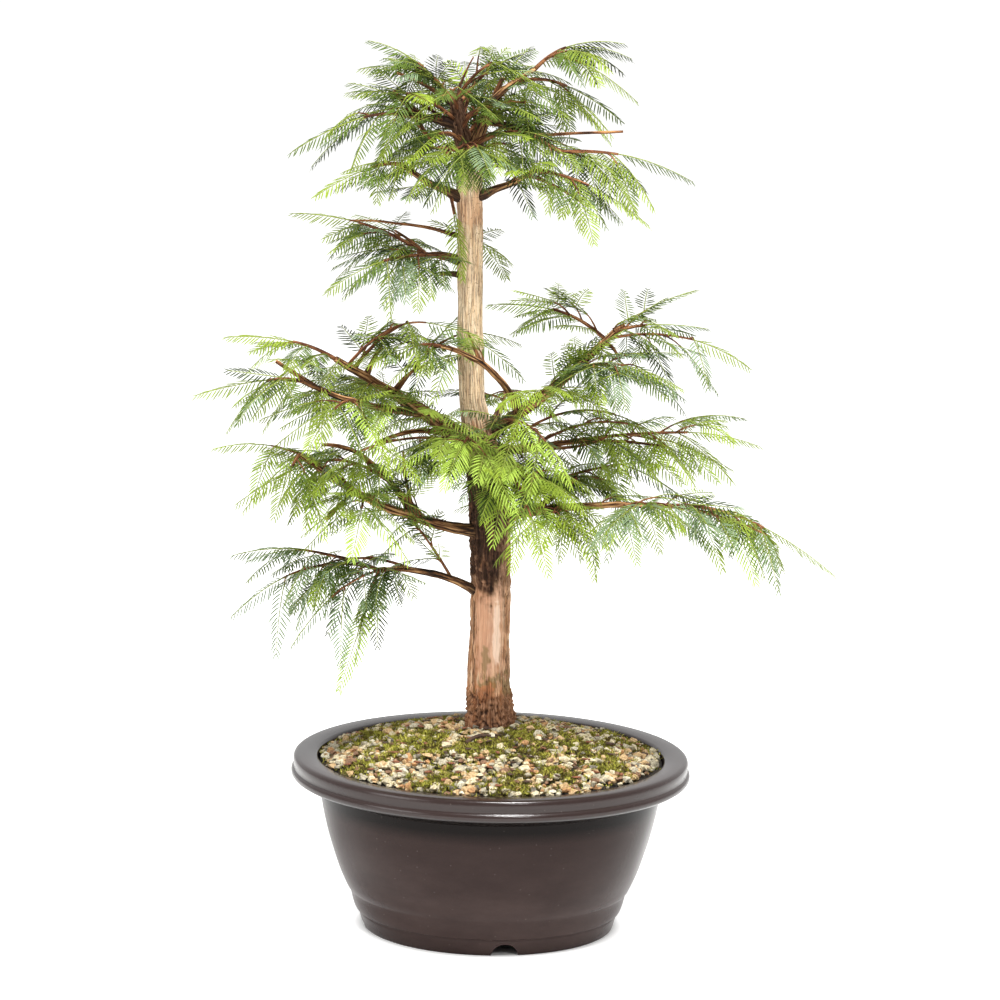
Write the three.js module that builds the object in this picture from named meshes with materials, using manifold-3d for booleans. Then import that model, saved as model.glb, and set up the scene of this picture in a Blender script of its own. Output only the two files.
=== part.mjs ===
// A dawn redwood bonsai in a round plastic training pot, filled with a dome of gravel.
//
// Millimetres, +Z up. The origin is the middle of the pot's underside, on the ground. The front of
// the tree is toward -Y, and +X is to the right as seen from the front. A "turn" is a heading in
// degrees seen from above: 0 is right, 90 is back, 180 is left and 270 is front.
import * as THREE from 'three';
import { mergeVertices } from 'three/addons/utils/BufferGeometryUtils.js';
import Module from 'manifold-3d';

const wasm = await Module();
wasm.setup();

// ---------------------------------------------------------------------------------------------
// Driving dimensions
// ---------------------------------------------------------------------------------------------

const CLEARANCE = 0.3; // between any two pieces that meet

const POT = {
  sides: 32,
  height: 134, // to the crest of the rim
  rimRadius: 152.3,
  rimRound: 2.5, // the bevel along the rim's outer edge
  rimStep: 2.4, // from the bead up to the rim's upright face
  beadRadius: 154, // the bead along the rim's lower edge
  beadHeight: 122.4,
  beadDepth: 3.2,
  lipRadius: 133.3, // the rim's inner edge
  lipHeight: 133,
  lipRound: 1,
  shoulderRadius: 132.6, // the body, just under the rim
  shoulderHeight: 110.4,
  fullness: 0.76, // below 1 the bowl fills out low down and runs nearly straight above
  footRadius: 97,
  footFlare: 6, // how much wider the foot is at its top
  footHeight: 12.5,
  ringWidth: 7, // of the ring that the pot stands on
  wall: 3,
  floorThickness: 4,
  padRadius: 28, // the flat pad in the middle of the underside
  padRise: 5, // the floor stands this far off the ground round the pad
  draft: 1, // how far the sides of pad and ring lean
  notchRadius: 10.5, // half-round drains through the foot ring
  notchLength: 24,
  notchDrop: 1, // their middle lines lie this far below the ground
  notchSides: 14,
  notches: 4,
  notchTurn: 278,
};

// Where the bowl's outline has its points, as shares of its height from the foot to the shoulder.
const BODY_SHARES = [0.22, 0.55, 1];

const SOIL = {
  edgeHeight: 132,
  edgeGap: 0.5, // between its edge and the rim's lip
  cornerGap: 1, // where its wall meets the pot's floor
  seatHeight: 158, // the flat under the trunk
  seatRadius: 25,
  crowning: 1.2, // how round the dome falls from the seat to the rim
  ringStep: 9, // between the rings on which heaps and hollows take turns
  heap: 2.2, // how far a heap of stones stands above the dome
  hollow: -1.2,
  unevenness: 0.3, // how far each heap or hollow may differ from those
  seed: 5,
};

// The trunk from its flat cut on the gravel to the flat stub at its top: the height of each
// station, how far it leans to the right, and its radius.
const TRUNK = {
  sides: 12,
  buttresses: 5,
  buttressDepth: 0.09,
  buttressTop: 185,
  stations: [
    { height: SOIL.seatHeight + CLEARANCE, lean: -2, radius: 21 },
    { height: 166, lean: -2, radius: 18.4 },
    { height: 179, lean: -2.5, radius: 16.9 },
    { height: 215, lean: -3, radius: 15.6 },
    { height: 262, lean: -3, radius: 15 },
    { height: 308, lean: -4, radius: 15.4 },
    { height: 335, lean: -6, radius: 15.2 },
    { height: 362, lean: -9, radius: 14.2 },
    { height: 385, lean: -15, radius: 12.2 },
    { height: 411, lean: -20, radius: 9.9 },
    { height: 470, lean: -23, radius: 9.6 },
    { height: 540, lean: -24, radius: 9.5 },
    { height: 588, lean: -26, radius: 10 },
    { height: 604, lean: -30, radius: 7.2 },
    { height: 622, lean: -34, radius: 5.6 },
    { height: 641, lean: -37, radius: 4.8 },
  ],
};

// Each bough: what it leaves and where (the height on the trunk, or the fraction along another
// bough), its heading, how far out and up its tip lies, how far its middle bows up and swings
// to the left of its heading, and its radius at both ends.
const BOUGHS = [
  { name: 'bough_low_left', at: 257, turn: 200, reach: 90, rise: 26, bow: 8, base: 3.4, tip: 1.8 },
  { name: 'bough_left_lower', at: 309, turn: 202, reach: 156, rise: 67, bow: -13, base: 4.6, tip: 1.9 },
  { name: 'bough_left_main', at: 366, turn: 195, reach: 118, rise: 79, bow: 3, base: 6.4, tip: 2.4 },
  { name: 'bough_left_outer', from: 'bough_left_main', along: 0.42,
    turn: 213, reach: 106, rise: 32, bow: -5, base: 3, tip: 1.8 },
  { name: 'bough_left_back', at: 374, turn: 136, reach: 100, rise: 28, bow: 4, base: 4.2, tip: 1.9 },
  { name: 'bough_right_upper', at: 382, turn: 6, reach: 102, rise: 82, bow: -7, base: 5.2, tip: 2.4 },
  { name: 'bough_crossing', from: 'bough_right_upper', along: 0.3,
    turn: 210, reach: 70, rise: 56, bow: 10, swing: 13, base: 3, tip: 1.7 },
  { name: 'bough_right_mid', at: 371, turn: 12, reach: 62, rise: 6, bow: -1, base: 5, tip: 2.6 },
  { name: 'bough_right_low', at: 318, turn: 344, reach: 130, rise: 20, bow: 5, base: 4.8, tip: 2.1 },
  { name: 'bough_back', at: 372, turn: 81, reach: 101, rise: 20, bow: 4, base: 4.6, tip: 2 },
  { name: 'bough_upper_left', at: 515, turn: 189, reach: 33, rise: 7, bow: 2, base: 3.4, tip: 2.2 },
  { name: 'bough_crown_left_low', at: 563, turn: 196, reach: 55, rise: 29, bow: -2, base: 3.6, tip: 1.9 },
  { name: 'bough_crown_right_low', at: 565, turn: 337, reach: 52, rise: 25, bow: -2, base: 3.4, tip: 1.9 },
  { name: 'bough_crown_left', at: 619, turn: 195, reach: 39, rise: 9, bow: 2, base: 3.2, tip: 2 },
  { name: 'bough_crown_fork', at: 592, turn: 0, reach: 15, rise: 46, bow: -2, base: 6, tip: 3.6 },
  { name: 'bough_crown_right', from: 'bough_crown_fork', along: 0.75,
    turn: 337, reach: 64, rise: -20, bow: 3, base: 2.8, tip: 1.7 },
  { name: 'bough_crown_top_right', from: 'bough_crown_fork', along: 0.97,
    turn: 16, reach: 36, rise: 27, bow: 2, base: 2.8, tip: 1.7 },
];

const BOUGH_SIDES = 5;
const BOUGH_STEPS = 4;

// Each mass of foliage: what its stem leaves and where, its heading, how far out and up its
// furthest tip lies, how far its middle bows up, how wide its space is across the heading, how
// many shoots leave the stem, and how far each spray's tip sags.
const MASSES = [
  { name: 'foliage_low_left', from: 'bough_low_left', turn: 191, reach: 108, rise: 20,
    bow: 6, spread: 110, shoots: 4, sag: 22 },
  { name: 'foliage_low_left_hanging', from: 'bough_low_left', turn: 225, reach: 30, rise: -86,
    bow: 14, spread: 50, shoots: 2, sag: 8 },
  { name: 'foliage_left_lower', from: 'bough_left_lower', turn: 252, reach: 44, rise: -38,
    bow: 8, spread: 78, shoots: 2, sag: 14 },
  { name: 'foliage_left_lower_front', from: 'bough_left_lower', along: 0.66, turn: 267, reach: 74, rise: -38,
    bow: 12, spread: 96, shoots: 3, sag: 14 },
  { name: 'foliage_left_rising', from: 'bough_left_lower', along: 0.34, turn: 197, reach: 136, rise: 18,
    bow: 40, spread: 96, shoots: 4, sag: 24 },
  { name: 'foliage_left_main', from: 'bough_left_main', turn: 190, reach: 82, rise: 8,
    bow: 11, spread: 96, shoots: 4, sag: 12 },
  { name: 'foliage_left_arch', from: 'bough_left_main', along: 0.88, turn: 18, reach: 82, rise: 28,
    bow: 20, spread: 84, shoots: 4, sag: 14 },
  { name: 'foliage_left_outer', from: 'bough_left_outer', turn: 196, reach: 76, rise: -16,
    bow: 8, spread: 84, shoots: 3, sag: 12 },
  { name: 'foliage_left_front', from: 'bough_left_outer', along: 0.55, turn: 250, reach: 92, rise: -26,
    bow: 14, spread: 100, shoots: 4, sag: 14 },
  { name: 'foliage_left_inner', from: 'bough_left_main', along: 0.28, turn: 262, reach: 84, rise: 24,
    bow: 8, spread: 84, shoots: 3, sag: 16 },
  { name: 'foliage_left_back', from: 'bough_left_back', turn: 140, reach: 88, rise: -4,
    bow: 10, spread: 120, shoots: 4, sag: 14 },
  { name: 'foliage_right_arch', from: 'bough_right_upper', along: 0.94, turn: 178, reach: 88, rise: 12,
    bow: 17, spread: 88, shoots: 4, sag: 12 },
  { name: 'foliage_right_upper', from: 'bough_right_upper', turn: 350, reach: 70, rise: 0,
    bow: 7, spread: 84, shoots: 3, sag: 9 },
  { name: 'foliage_right_upper_front', from: 'bough_right_upper', along: 0.7, turn: 322, reach: 98, rise: -4,
    bow: 12, spread: 104, shoots: 5, sag: 18 },
  { name: 'foliage_right_inner', from: 'bough_right_upper', along: 0.42, turn: 284, reach: 86, rise: 14,
    bow: 12, spread: 100, shoots: 4, sag: 16 },
  { name: 'foliage_crossing', from: 'bough_crossing', turn: 206, reach: 56, rise: -16,
    bow: 8, spread: 66, shoots: 2, sag: 12 },
  { name: 'foliage_right_mid', from: 'bough_right_mid', turn: 1, reach: 148, rise: 8,
    bow: 5, spread: 104, shoots: 7, sag: 18 },
  { name: 'foliage_front', at: 376, turn: 258, reach: 110, rise: -10,
    bow: 18, spread: 104, shoots: 5, sag: 26 },
  { name: 'foliage_front_right', at: 340, turn: 304, reach: 122, rise: 8,
    bow: 18, spread: 100, shoots: 5, sag: 24 },
  { name: 'foliage_right_low', from: 'bough_right_low', turn: 350, reach: 132, rise: -42,
    bow: 16, spread: 100, shoots: 5, sag: 16 },
  { name: 'foliage_right_low_front', from: 'bough_right_low', along: 0.86, turn: 290, reach: 82, rise: -8,
    bow: 10, spread: 110, shoots: 4, sag: 24 },
  { name: 'foliage_right_low_inner', from: 'bough_right_low', along: 0.42, turn: 262, reach: 80, rise: -20,
    bow: 10, spread: 76, shoots: 3, sag: 20 },
  { name: 'foliage_right_rear', at: 327, turn: 32, reach: 170, rise: 24,
    bow: 10, spread: 110, shoots: 4, sag: 16 },
  { name: 'foliage_back', from: 'bough_back', turn: 88, reach: 92, rise: -10,
    bow: 8, spread: 110, shoots: 4, sag: 14 },
  { name: 'foliage_back_left', at: 345, turn: 112, reach: 150, rise: 10,
    bow: 10, spread: 90, shoots: 4, sag: 16 },
  { name: 'foliage_upper_left', from: 'bough_upper_left', turn: 184, reach: 102, rise: 28,
    bow: 10, spread: 72, shoots: 4, sag: 12 },
  { name: 'foliage_upper_left_front', from: 'bough_upper_left', along: 0.55, turn: 220, reach: 112, rise: -14,
    bow: 9, spread: 84, shoots: 5, sag: 16 },
  { name: 'foliage_upper_left_back', from: 'bough_upper_left', turn: 132, reach: 88, rise: 20,
    bow: 6, spread: 76, shoots: 3, sag: 14 },
  { name: 'foliage_upper_rear', at: 530, turn: 58, reach: 42, rise: -46,
    bow: 18, spread: 50, shoots: 1, sag: 6 },
  { name: 'foliage_crown_left', from: 'bough_crown_left', turn: 198, reach: 84, rise: -28,
    bow: 12, spread: 104, shoots: 4, sag: 18 },
  { name: 'foliage_crown_left_low', from: 'bough_crown_left_low', turn: 210, reach: 66, rise: -28,
    bow: 10, spread: 70, shoots: 2, sag: 10 },
  { name: 'foliage_crown_left_high', from: 'bough_crown_left', along: 0.7, turn: 142, reach: 74, rise: 18,
    bow: 6, spread: 78, shoots: 3, sag: 12 },
  { name: 'foliage_crown_top_left', at: 632, turn: 184, reach: 72, rise: 44,
    bow: 17, spread: 100, shoots: 5, sag: 20 },
  { name: 'foliage_crown_top_right', from: 'bough_crown_top_right', turn: 346, reach: 66, rise: 8,
    bow: 16, spread: 100, shoots: 5, sag: 22 },
  { name: 'foliage_crown_right_rear', from: 'bough_crown_top_right', along: 0.55, turn: 38, reach: 98,
    rise: -36, bow: 14, spread: 92, shoots: 4, sag: 14 },
  { name: 'foliage_crown_right', from: 'bough_crown_right', turn: 358, reach: 94, rise: -14,
    bow: 6, spread: 96, shoots: 4, sag: 20 },
  { name: 'foliage_crown_right_low', from: 'bough_crown_right_low', turn: 328, reach: 98, rise: -30,
    bow: 8, spread: 76, shoots: 3, sag: 16 },
  { name: 'foliage_crown_front', at: 603, turn: 282, reach: 96, rise: -14,
    bow: 14, spread: 110, shoots: 4, sag: 18 },
  { name: 'foliage_crown_back', at: 598, turn: 80, reach: 140, rise: 44,
    bow: 18, spread: 124, shoots: 6, sag: 16 },
  { name: 'foliage_trunk_hanging', from: 'bough_crown_left_low', along: 0.28, turn: 292, reach: 24, rise: -62,
    bow: 8, spread: 40, shoots: 0, sag: 4 },
];

// A spray is a branchlet with its needles in two ranks, cut here as a toothed blade.
const SPRAY = {
  length: 58,
  width: 33,
  stalkRadius: 0.75,
  stalkDepth: 0.6, // the stalk's underside lies this much nearer its middle than its ridge does
  bare: 0.16, // the share of its length, from the root, with no teeth
  toothed: 0.9, // the share of its length where the teeth end
  teeth: 3, // pairs on a full-length spray
  fewestTeeth: 2,
  sweep: 0.75, // how far a tooth leans toward the tip, in tooth widths
  toothBack: 0.95, // where a tooth's point lies, as a share of its place along the stalk
  // The teeth follow part of a sine's arch, which starts here and runs on for this long.
  archStart: 0.3,
  archRun: 0.62,
  slimmest: 0.45, // the width that the very shortest spray would have, as a share of the full one
};

const TWIG = {
  stem: { base: 1.9, tip: 1.3, sides: 4, steps: 3 },
  shoot: { base: 1.2, tip: 1.1, sides: 3, steps: 2 },
};

// The sizes of the rule by which the masses grow. Lengths named "Sprays" are in spray lengths, and
// those named "Sags" are in the mass's own sag. Pairs are the least and the most that may be drawn.
const GROWTH = {
  shortest: 0.36, // the least share of a mass's centre line that its stem takes
  shortSprays: 0.9, // how far the stem stops short of the furthest tip
  sunk: 1.5, // how far the spray at its end starts inside it
  stretchSags: 0.3, // how much longer that spray is, as it hangs
  endSags: 0.6,
  before: 0.75, // shoot spacings from the root to the first shoot
  after: 0.35, // and those after the last one, added to the number of shoots
  offAngle: 52, // between a shoot and its stem, degrees
  offJitter: [-10, 10],
  droop: 0.28, // how far a shoot dips below its stem's heading, for each unit out
  roll: [-34, 34], // how far a spray may turn about its own stalk, degrees
  narrowing: 0.28, // how much narrower a mass is at its ends than in its middle
  roomJitter: [0.92, 1.08],
  sagJitter: [0.8, 1.2],
  twigSprays: 1.3, // a shoot at least this long is a twig with two sprays
  longestSprays: 1.05,
  twigShortSprays: 0.8, // how far a twig stops short of its spray's tip
  twigSags: 0.15, // how far a twig itself hangs
  twigBow: 1,
  endSpray: [0.85, 1], // the spray at a twig's end, in spray lengths
  endSpraySags: 0.8,
  sideAt: 0.5, // where along a twig its other spray stands
  sideSpray: [0.7, 0.85],
  sideSpraySags: 0.7,
};

const COLOURS = {
  pot: { color: 0x4a403f, roughness: 0.55, metalness: 0 },
  gravel: { color: 0xa89675, roughness: 0.95, metalness: 0 },
  bark: { color: 0x9a6f50, roughness: 0.9, metalness: 0 },
  needles: { color: 0x6aa038, roughness: 0.7, metalness: 0 },
};

// ---------------------------------------------------------------------------------------------
// Helpers
// ---------------------------------------------------------------------------------------------

const UP = new THREE.Vector3(0, 0, 1);
const radians = THREE.MathUtils.degToRad;

// A repeatable random number generator, each call giving a number from 0 to 1.
function seeded(seed) {
  let state = seed;
  return () => {
    state = (1664525 * state + 1013904223) % 4294967296;
    return state / 4294967296;
  };
}

function headingVector(turn) {
  return new THREE.Vector3(Math.cos(radians(turn)), Math.sin(radians(turn)), 0);
}

function solidOf(geometry) {
  geometry.deleteAttribute('normal');
  geometry.deleteAttribute('uv');
  const merged = mergeVertices(geometry, 1e-4);
  const vertProperties = new Float32Array(merged.attributes.position.array);
  const triVerts = new Uint32Array(merged.index.array);
  return new wasm.Manifold(new wasm.Mesh({ numProp: 3, vertProperties, triVerts }));
}

function geometryOf(solid) {
  const mesh = solid.getMesh();
  const geometry = new THREE.BufferGeometry();
  geometry.setAttribute('position', new THREE.BufferAttribute(mesh.vertProperties, 3));
  geometry.setIndex(new THREE.BufferAttribute(mesh.triVerts, 1));
  geometry.computeVertexNormals();
  return geometry;
}

// The solid of a closed surface, whichever way round its faces were listed.
function outwardSolid(geometry) {
  const solid = solidOf(geometry);
  if (solid.volume() > 0) return solid;
  const index = geometry.index.array;
  for (let i = 0; i < index.length; i += 3) [index[i], index[i + 1]] = [index[i + 1], index[i]];
  return solidOf(geometry);
}

function largestPiece(solid) {
  const pieces = solid.decompose();
  return pieces.reduce((best, piece) => (piece.volume() > best.volume() ? piece : best));
}

// The centre line of a bough, stem or shoot: it runs out along its heading and up by its rise,
// with its middle bowed up and swung sideways.
class LimbCurve extends THREE.Curve {
  constructor(root, { turn, reach, rise, bow = 0, swing = 0 }) {
    super();
    this.root = root;
    this.out = headingVector(turn);
    this.side = new THREE.Vector3().crossVectors(UP, this.out);
    Object.assign(this, { reach, rise, bow, swing });
  }

  getPoint(t) {
    const middle = 4 * t * (1 - t);
    return this.root.clone()
      .addScaledVector(this.out, this.reach * t)
      .addScaledVector(UP, this.rise * t + this.bow * middle)
      .addScaledVector(this.side, this.swing * middle);
  }
}

// A closed round limb along a curve, tapering from one radius to the other. "grown" makes it
// thicker and longer all round, to cut or test clearance with.
function limbSolid(curve, { base, tip, sides, steps, until = 1, grown = 0 }) {
  const geometry = new THREE.CylinderGeometry(1, 1, 1, sides, steps);
  const place = geometry.attributes.position;
  for (let i = 0; i < place.count; i += 1) {
    const share = place.getY(i) + 0.5;
    const t = share * until;
    const along = curve.getTangent(Math.min(Math.max(t, 0.001), 0.999));
    const above = new THREE.Vector3().crossVectors(along, curve.side).normalize();
    const beside = new THREE.Vector3().crossVectors(above, along);
    const radius = base + (tip - base) * share + grown;
    const point = curve.getPoint(t)
      .addScaledVector(beside, place.getX(i) * radius)
      .addScaledVector(above, place.getZ(i) * radius)
      .addScaledVector(along, share > 0.999 ? grown : 0);
    place.setXYZ(i, point.x, point.y, point.z);
  }
  return outwardSolid(geometry);
}

// ---------------------------------------------------------------------------------------------
// Pot and gravel
// ---------------------------------------------------------------------------------------------

function latheGeometry(profile) {
  const outline = profile.map(([radius, height]) => new THREE.Vector2(radius, height));
  return new THREE.LatheGeometry(outline, POT.sides).rotateX(Math.PI / 2);
}

const BODY_RISE = POT.shoulderHeight - POT.footHeight;
const BODY_HEIGHTS = BODY_SHARES.map((share) => POT.footHeight + BODY_RISE * share);
const FOOT_TOP_RADIUS = POT.footRadius + POT.footFlare;
const FLOOR_TOP = POT.padRise + POT.floorThickness;

// The radius of the bowl's outside, from the foot's groove up to the shoulder.
function bodyRadius(height) {
  const share = (height - POT.footHeight) / BODY_RISE;
  return FOOT_TOP_RADIUS + (POT.shoulderRadius - FOOT_TOP_RADIUS) * Math.pow(share, POT.fullness);
}

function makePot() {
  const { footRadius, padRadius, padRise, draft, ringWidth, wall } = POT;
  const { height, rimRadius, rimRound, beadRadius, beadHeight, beadDepth } = POT;
  const outside = BODY_HEIGHTS.map((level) => [bodyRadius(level), level]);
  const inside = [...BODY_HEIGHTS].reverse().map((level) => [bodyRadius(level) - wall, level]);
  let pot = outwardSolid(latheGeometry([
    [0, 0],
    [padRadius, 0],
    [padRadius + draft, padRise],
    [footRadius - ringWidth - draft, padRise],
    [footRadius - ringWidth, 0],
    [footRadius, 0],
    [FOOT_TOP_RADIUS, POT.footHeight],
    ...outside,
    [beadRadius - beadDepth, beadHeight - 2 * beadDepth],
    [beadRadius, beadHeight - beadDepth],
    [beadRadius, beadHeight],
    [rimRadius, beadHeight + POT.rimStep],
    [rimRadius, height - rimRound],
    [rimRadius - rimRound, height],
    [POT.lipRadius + POT.lipRound, height],
    [POT.lipRadius, POT.lipHeight - POT.lipRound],
    ...inside,
    [footRadius, FLOOR_TOP],
    [0, FLOOR_TOP],
  ]));
  for (let i = 0; i < POT.notches; i += 1) {
    const { notchRadius, notchLength, notchSides, notchDrop } = POT;
    const drain = new THREE.CylinderGeometry(notchRadius, notchRadius, notchLength, notchSides);
    drain.rotateZ(Math.PI / 2);
    drain.translate(footRadius, 0, -notchDrop);
    drain.rotateZ(radians(POT.notchTurn + (i * 360) / POT.notches));
    pot = pot.subtract(solidOf(drain));
  }
  return pot;
}

function soilHeight(radius) {
  const share = Math.max(0, (radius - SOIL.seatRadius) / (POT.lipRadius - SOIL.seatRadius));
  return SOIL.edgeHeight + (SOIL.seatHeight - SOIL.edgeHeight) * (1 - Math.pow(share, SOIL.crowning));
}

// The gravel fills the pot. Its dome is uneven: heaps and hollows take turns round each ring.
function makeGravel() {
  const inset = POT.wall + CLEARANCE;
  const edge = POT.lipRadius - SOIL.edgeGap;
  const rings = [];
  for (let radius = edge - SOIL.ringStep; radius > SOIL.seatRadius; radius -= SOIL.ringStep) {
    rings.push([radius, soilHeight(radius)]);
  }
  const profile = [
    [0, FLOOR_TOP + CLEARANCE],
    [POT.footRadius - SOIL.cornerGap, FLOOR_TOP + CLEARANCE],
    ...BODY_HEIGHTS.map((level) => [bodyRadius(level) - inset, level]),
    [edge, SOIL.edgeHeight],
    ...rings,
    [SOIL.seatRadius, SOIL.seatHeight],
    [0, SOIL.seatHeight],
  ];
  const geometry = latheGeometry(profile);
  const random = seeded(SOIL.seed);
  const lifts = [];
  for (let ring = 0; ring < rings.length; ring += 1) {
    lifts.push([]);
    for (let spoke = 0; spoke < POT.sides; spoke += 1) {
      const lift = (ring + spoke) % 2 === 0 ? SOIL.heap : SOIL.hollow;
      lifts[ring].push(lift * (1 + SOIL.unevenness * (2 * random() - 1)));
    }
  }
  const place = geometry.attributes.position;
  for (let i = 0; i < place.count; i += 1) {
    const ring = (i % profile.length) - profile.indexOf(rings[0]);
    const spoke = Math.floor(i / profile.length) % POT.sides;
    if (lifts[ring]) place.setZ(i, place.getZ(i) + lifts[ring][spoke]);
  }
  return outwardSolid(geometry);
}

// ---------------------------------------------------------------------------------------------
// Trunk and boughs
// ---------------------------------------------------------------------------------------------

function trunkAt(height) {
  const { stations } = TRUNK;
  const above = Math.max(1, stations.findIndex((station) => station.height >= height));
  const low = stations[above - 1];
  const high = stations[above];
  const share = (height - low.height) / (high.height - low.height);
  return {
    lean: low.lean + (high.lean - low.lean) * share,
    radius: low.radius + (high.radius - low.radius) * share,
  };
}

// The trunk, ring by ring, with five shallow buttresses that fade out above the root flare.
function trunkSolid(grown) {
  const { stations, sides, buttresses, buttressDepth, buttressTop } = TRUNK;
  const geometry = new THREE.CylinderGeometry(1, 1, 1, sides, stations.length - 1);
  geometry.rotateX(Math.PI / 2);
  const place = geometry.attributes.position;
  const foot = stations[0].height;
  for (let i = 0; i < place.count; i += 1) {
    const station = stations[Math.round((place.getZ(i) + 0.5) * (stations.length - 1))];
    const flare = Math.max(0, (buttressTop - station.height) / (buttressTop - foot));
    const angle = Math.atan2(place.getY(i), place.getX(i));
    const wave = 1 + buttressDepth * flare * Math.cos(buttresses * angle);
    const radius = station.radius * wave + grown;
    place.setXYZ(
      i,
      station.lean + place.getX(i) * radius,
      place.getY(i) * radius,
      station.height,
    );
  }
  return solidOf(geometry);
}

// Where a bough or stem starts: on the trunk's middle line, or inside the bough that carries it.
function rootOf(limb, curves) {
  if (limb.at !== undefined) return new THREE.Vector3(trunkAt(limb.at).lean, 0, limb.at);
  return curves.get(limb.from).getPoint(limb.along ?? 1);
}

// ---------------------------------------------------------------------------------------------
// Foliage
// ---------------------------------------------------------------------------------------------

// One spray: a three-sided stalk with a tooth for each group of needles on either side.
function spraySolid({ root, out, side, length, width, drop }, grown = 0) {
  const pairs = Math.max(SPRAY.fewestTeeth, Math.round((SPRAY.teeth * length) / SPRAY.length));
  const normal = new THREE.Vector3().crossVectors(out, side).normalize();
  const pointAt = (share) => root.clone()
    .addScaledVector(out, length * share)
    .addScaledVector(UP, -drop * share * share);
  const half = SPRAY.stalkRadius + grown;
  const below = -half * SPRAY.stalkDepth;
  const vertices = [];
  const faces = [];
  const add = (point) => vertices.push(point.x, point.y, point.z) / 3 - 1;
  const stalk = [];
  for (let i = -1; i <= pairs; i += 1) {
    const centre = pointAt(i < 0 ? 0 : SPRAY.bare + (i / pairs) * (SPRAY.toothed - SPRAY.bare));
    stalk.push([
      add(centre.clone().addScaledVector(normal, half)),
      add(centre.clone().addScaledVector(side, -half).addScaledVector(normal, below)),
      add(centre.clone().addScaledVector(side, half).addScaledVector(normal, below)),
    ]);
  }
  faces.push([stalk[0][0], stalk[0][1], stalk[0][2]]);
  for (let i = 0; i <= pairs; i += 1) {
    const [topA, leftA, rightA] = stalk[i];
    const [topB, leftB, rightB] = stalk[i + 1];
    faces.push([leftA, leftB, rightA], [leftB, rightB, rightA]);
    if (i === 0) {
      faces.push([topA, topB, leftA], [topB, leftB, leftA], [topB, topA, rightA], [rightB, topB, rightA]);
      continue;
    }
    const share = SPRAY.bare + (1 - SPRAY.bare) * (i - 0.5 + SPRAY.sweep) / (pairs + SPRAY.sweep);
    const arch = Math.sin(Math.PI * Math.min(1, SPRAY.archStart + SPRAY.archRun * share));
    const reach = (width / 2) * arch + grown;
    const centre = pointAt(share * SPRAY.toothBack);
    const left = add(centre.clone().addScaledVector(side, -reach));
    const right = add(centre.clone().addScaledVector(side, reach));
    faces.push([topA, topB, left], [topB, leftB, left], [leftB, leftA, left], [leftA, topA, left]);
    faces.push([topB, topA, right], [rightB, topB, right], [rightA, rightB, right], [topA, rightA, right]);
  }
  const tip = add(pointAt(1 + grown / length));
  const [top, left, right] = stalk[pairs + 1];
  faces.push([top, right, tip], [right, left, tip], [left, top, tip]);
  const geometry = new THREE.BufferGeometry();
  geometry.setAttribute('position', new THREE.Float32BufferAttribute(vertices, 3));
  geometry.setIndex(faces.flat());
  return outwardSolid(geometry);
}

// The rule by which every mass grows. Its centre line runs from the root to its furthest tip. A
// stem follows the line and ends in a spray. Shoots leave the stem by turns to either side: a
// long one is a twig with a spray at its end and another on its outer side, a short one a spray.
function growth(mass, root, seed) {
  const random = seeded(seed);
  const drawn = ([low, high]) => low + (high - low) * random();
  const line = new LimbCurve(root, mass);
  const stemLength = line.getLength() - GROWTH.shortSprays * SPRAY.length;
  const until = Math.max(GROWTH.shortest, stemLength / line.getLength());
  const twigs = [];
  const sprays = [];

  const spray = (start, along, length, drop) => {
    const flat = new THREE.Vector3().crossVectors(UP, along).normalize();
    const side = flat.applyAxisAngle(along, radians(drawn(GROWTH.roll)));
    const wide = SPRAY.slimmest + ((1 - SPRAY.slimmest) * length) / SPRAY.length;
    sprays.push({ root: start, out: along, side, length, width: SPRAY.width * Math.min(1, wide), drop });
  };

  const sprayAtEnd = (curve, t, length, drop) => {
    const ahead = curve.getTangent(t);
    spray(curve.getPoint(t).addScaledVector(ahead, -GROWTH.sunk), ahead, length, drop);
  };

  const lastLength = line.getPoint(until).distanceTo(line.getPoint(1)) + mass.sag * GROWTH.stretchSags;
  sprayAtEnd(line, until, lastLength, mass.sag * GROWTH.endSags);

  for (let i = 0; i < mass.shoots; i += 1) {
    const share = (i + GROWTH.before) / (mass.shoots + GROWTH.after);
    const t = share * until;
    const hand = (i + seed) % 2 === 0 ? 1 : -1;
    const off = radians(GROWTH.offAngle + drawn(GROWTH.offJitter));
    const start = line.getPoint(t);
    const along = line.getTangent(t).applyAxisAngle(UP, hand * off)
      .addScaledVector(UP, -GROWTH.droop).normalize();
    const narrowed = 1 - GROWTH.narrowing * (1 - Math.sin(Math.PI * share));
    const length = ((mass.spread / 2) * narrowed * drawn(GROWTH.roomJitter)) / Math.sin(off);
    const drop = mass.sag * drawn(GROWTH.sagJitter);
    if (length < SPRAY.length * GROWTH.twigSprays) {
      spray(start, along, Math.min(length, SPRAY.length * GROWTH.longestSprays), drop);
      continue;
    }
    const turn = THREE.MathUtils.radToDeg(Math.atan2(along.y, along.x));
    const reach = length - SPRAY.length * GROWTH.twigShortSprays;
    const rise = along.z * reach - drop * GROWTH.twigSags;
    const twig = new LimbCurve(start, { turn, reach, rise, bow: GROWTH.twigBow });
    twigs.push(twig);
    sprayAtEnd(twig, 1, SPRAY.length * drawn(GROWTH.endSpray), drop * GROWTH.endSpraySags);
    const sideways = twig.getTangent(GROWTH.sideAt).applyAxisAngle(UP, -hand * off);
    const sideLength = SPRAY.length * drawn(GROWTH.sideSpray);
    spray(twig.getPoint(GROWTH.sideAt), sideways, sideLength, drop * GROWTH.sideSpraySags);
  }
  return { line, until, twigs, sprays };
}

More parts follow.
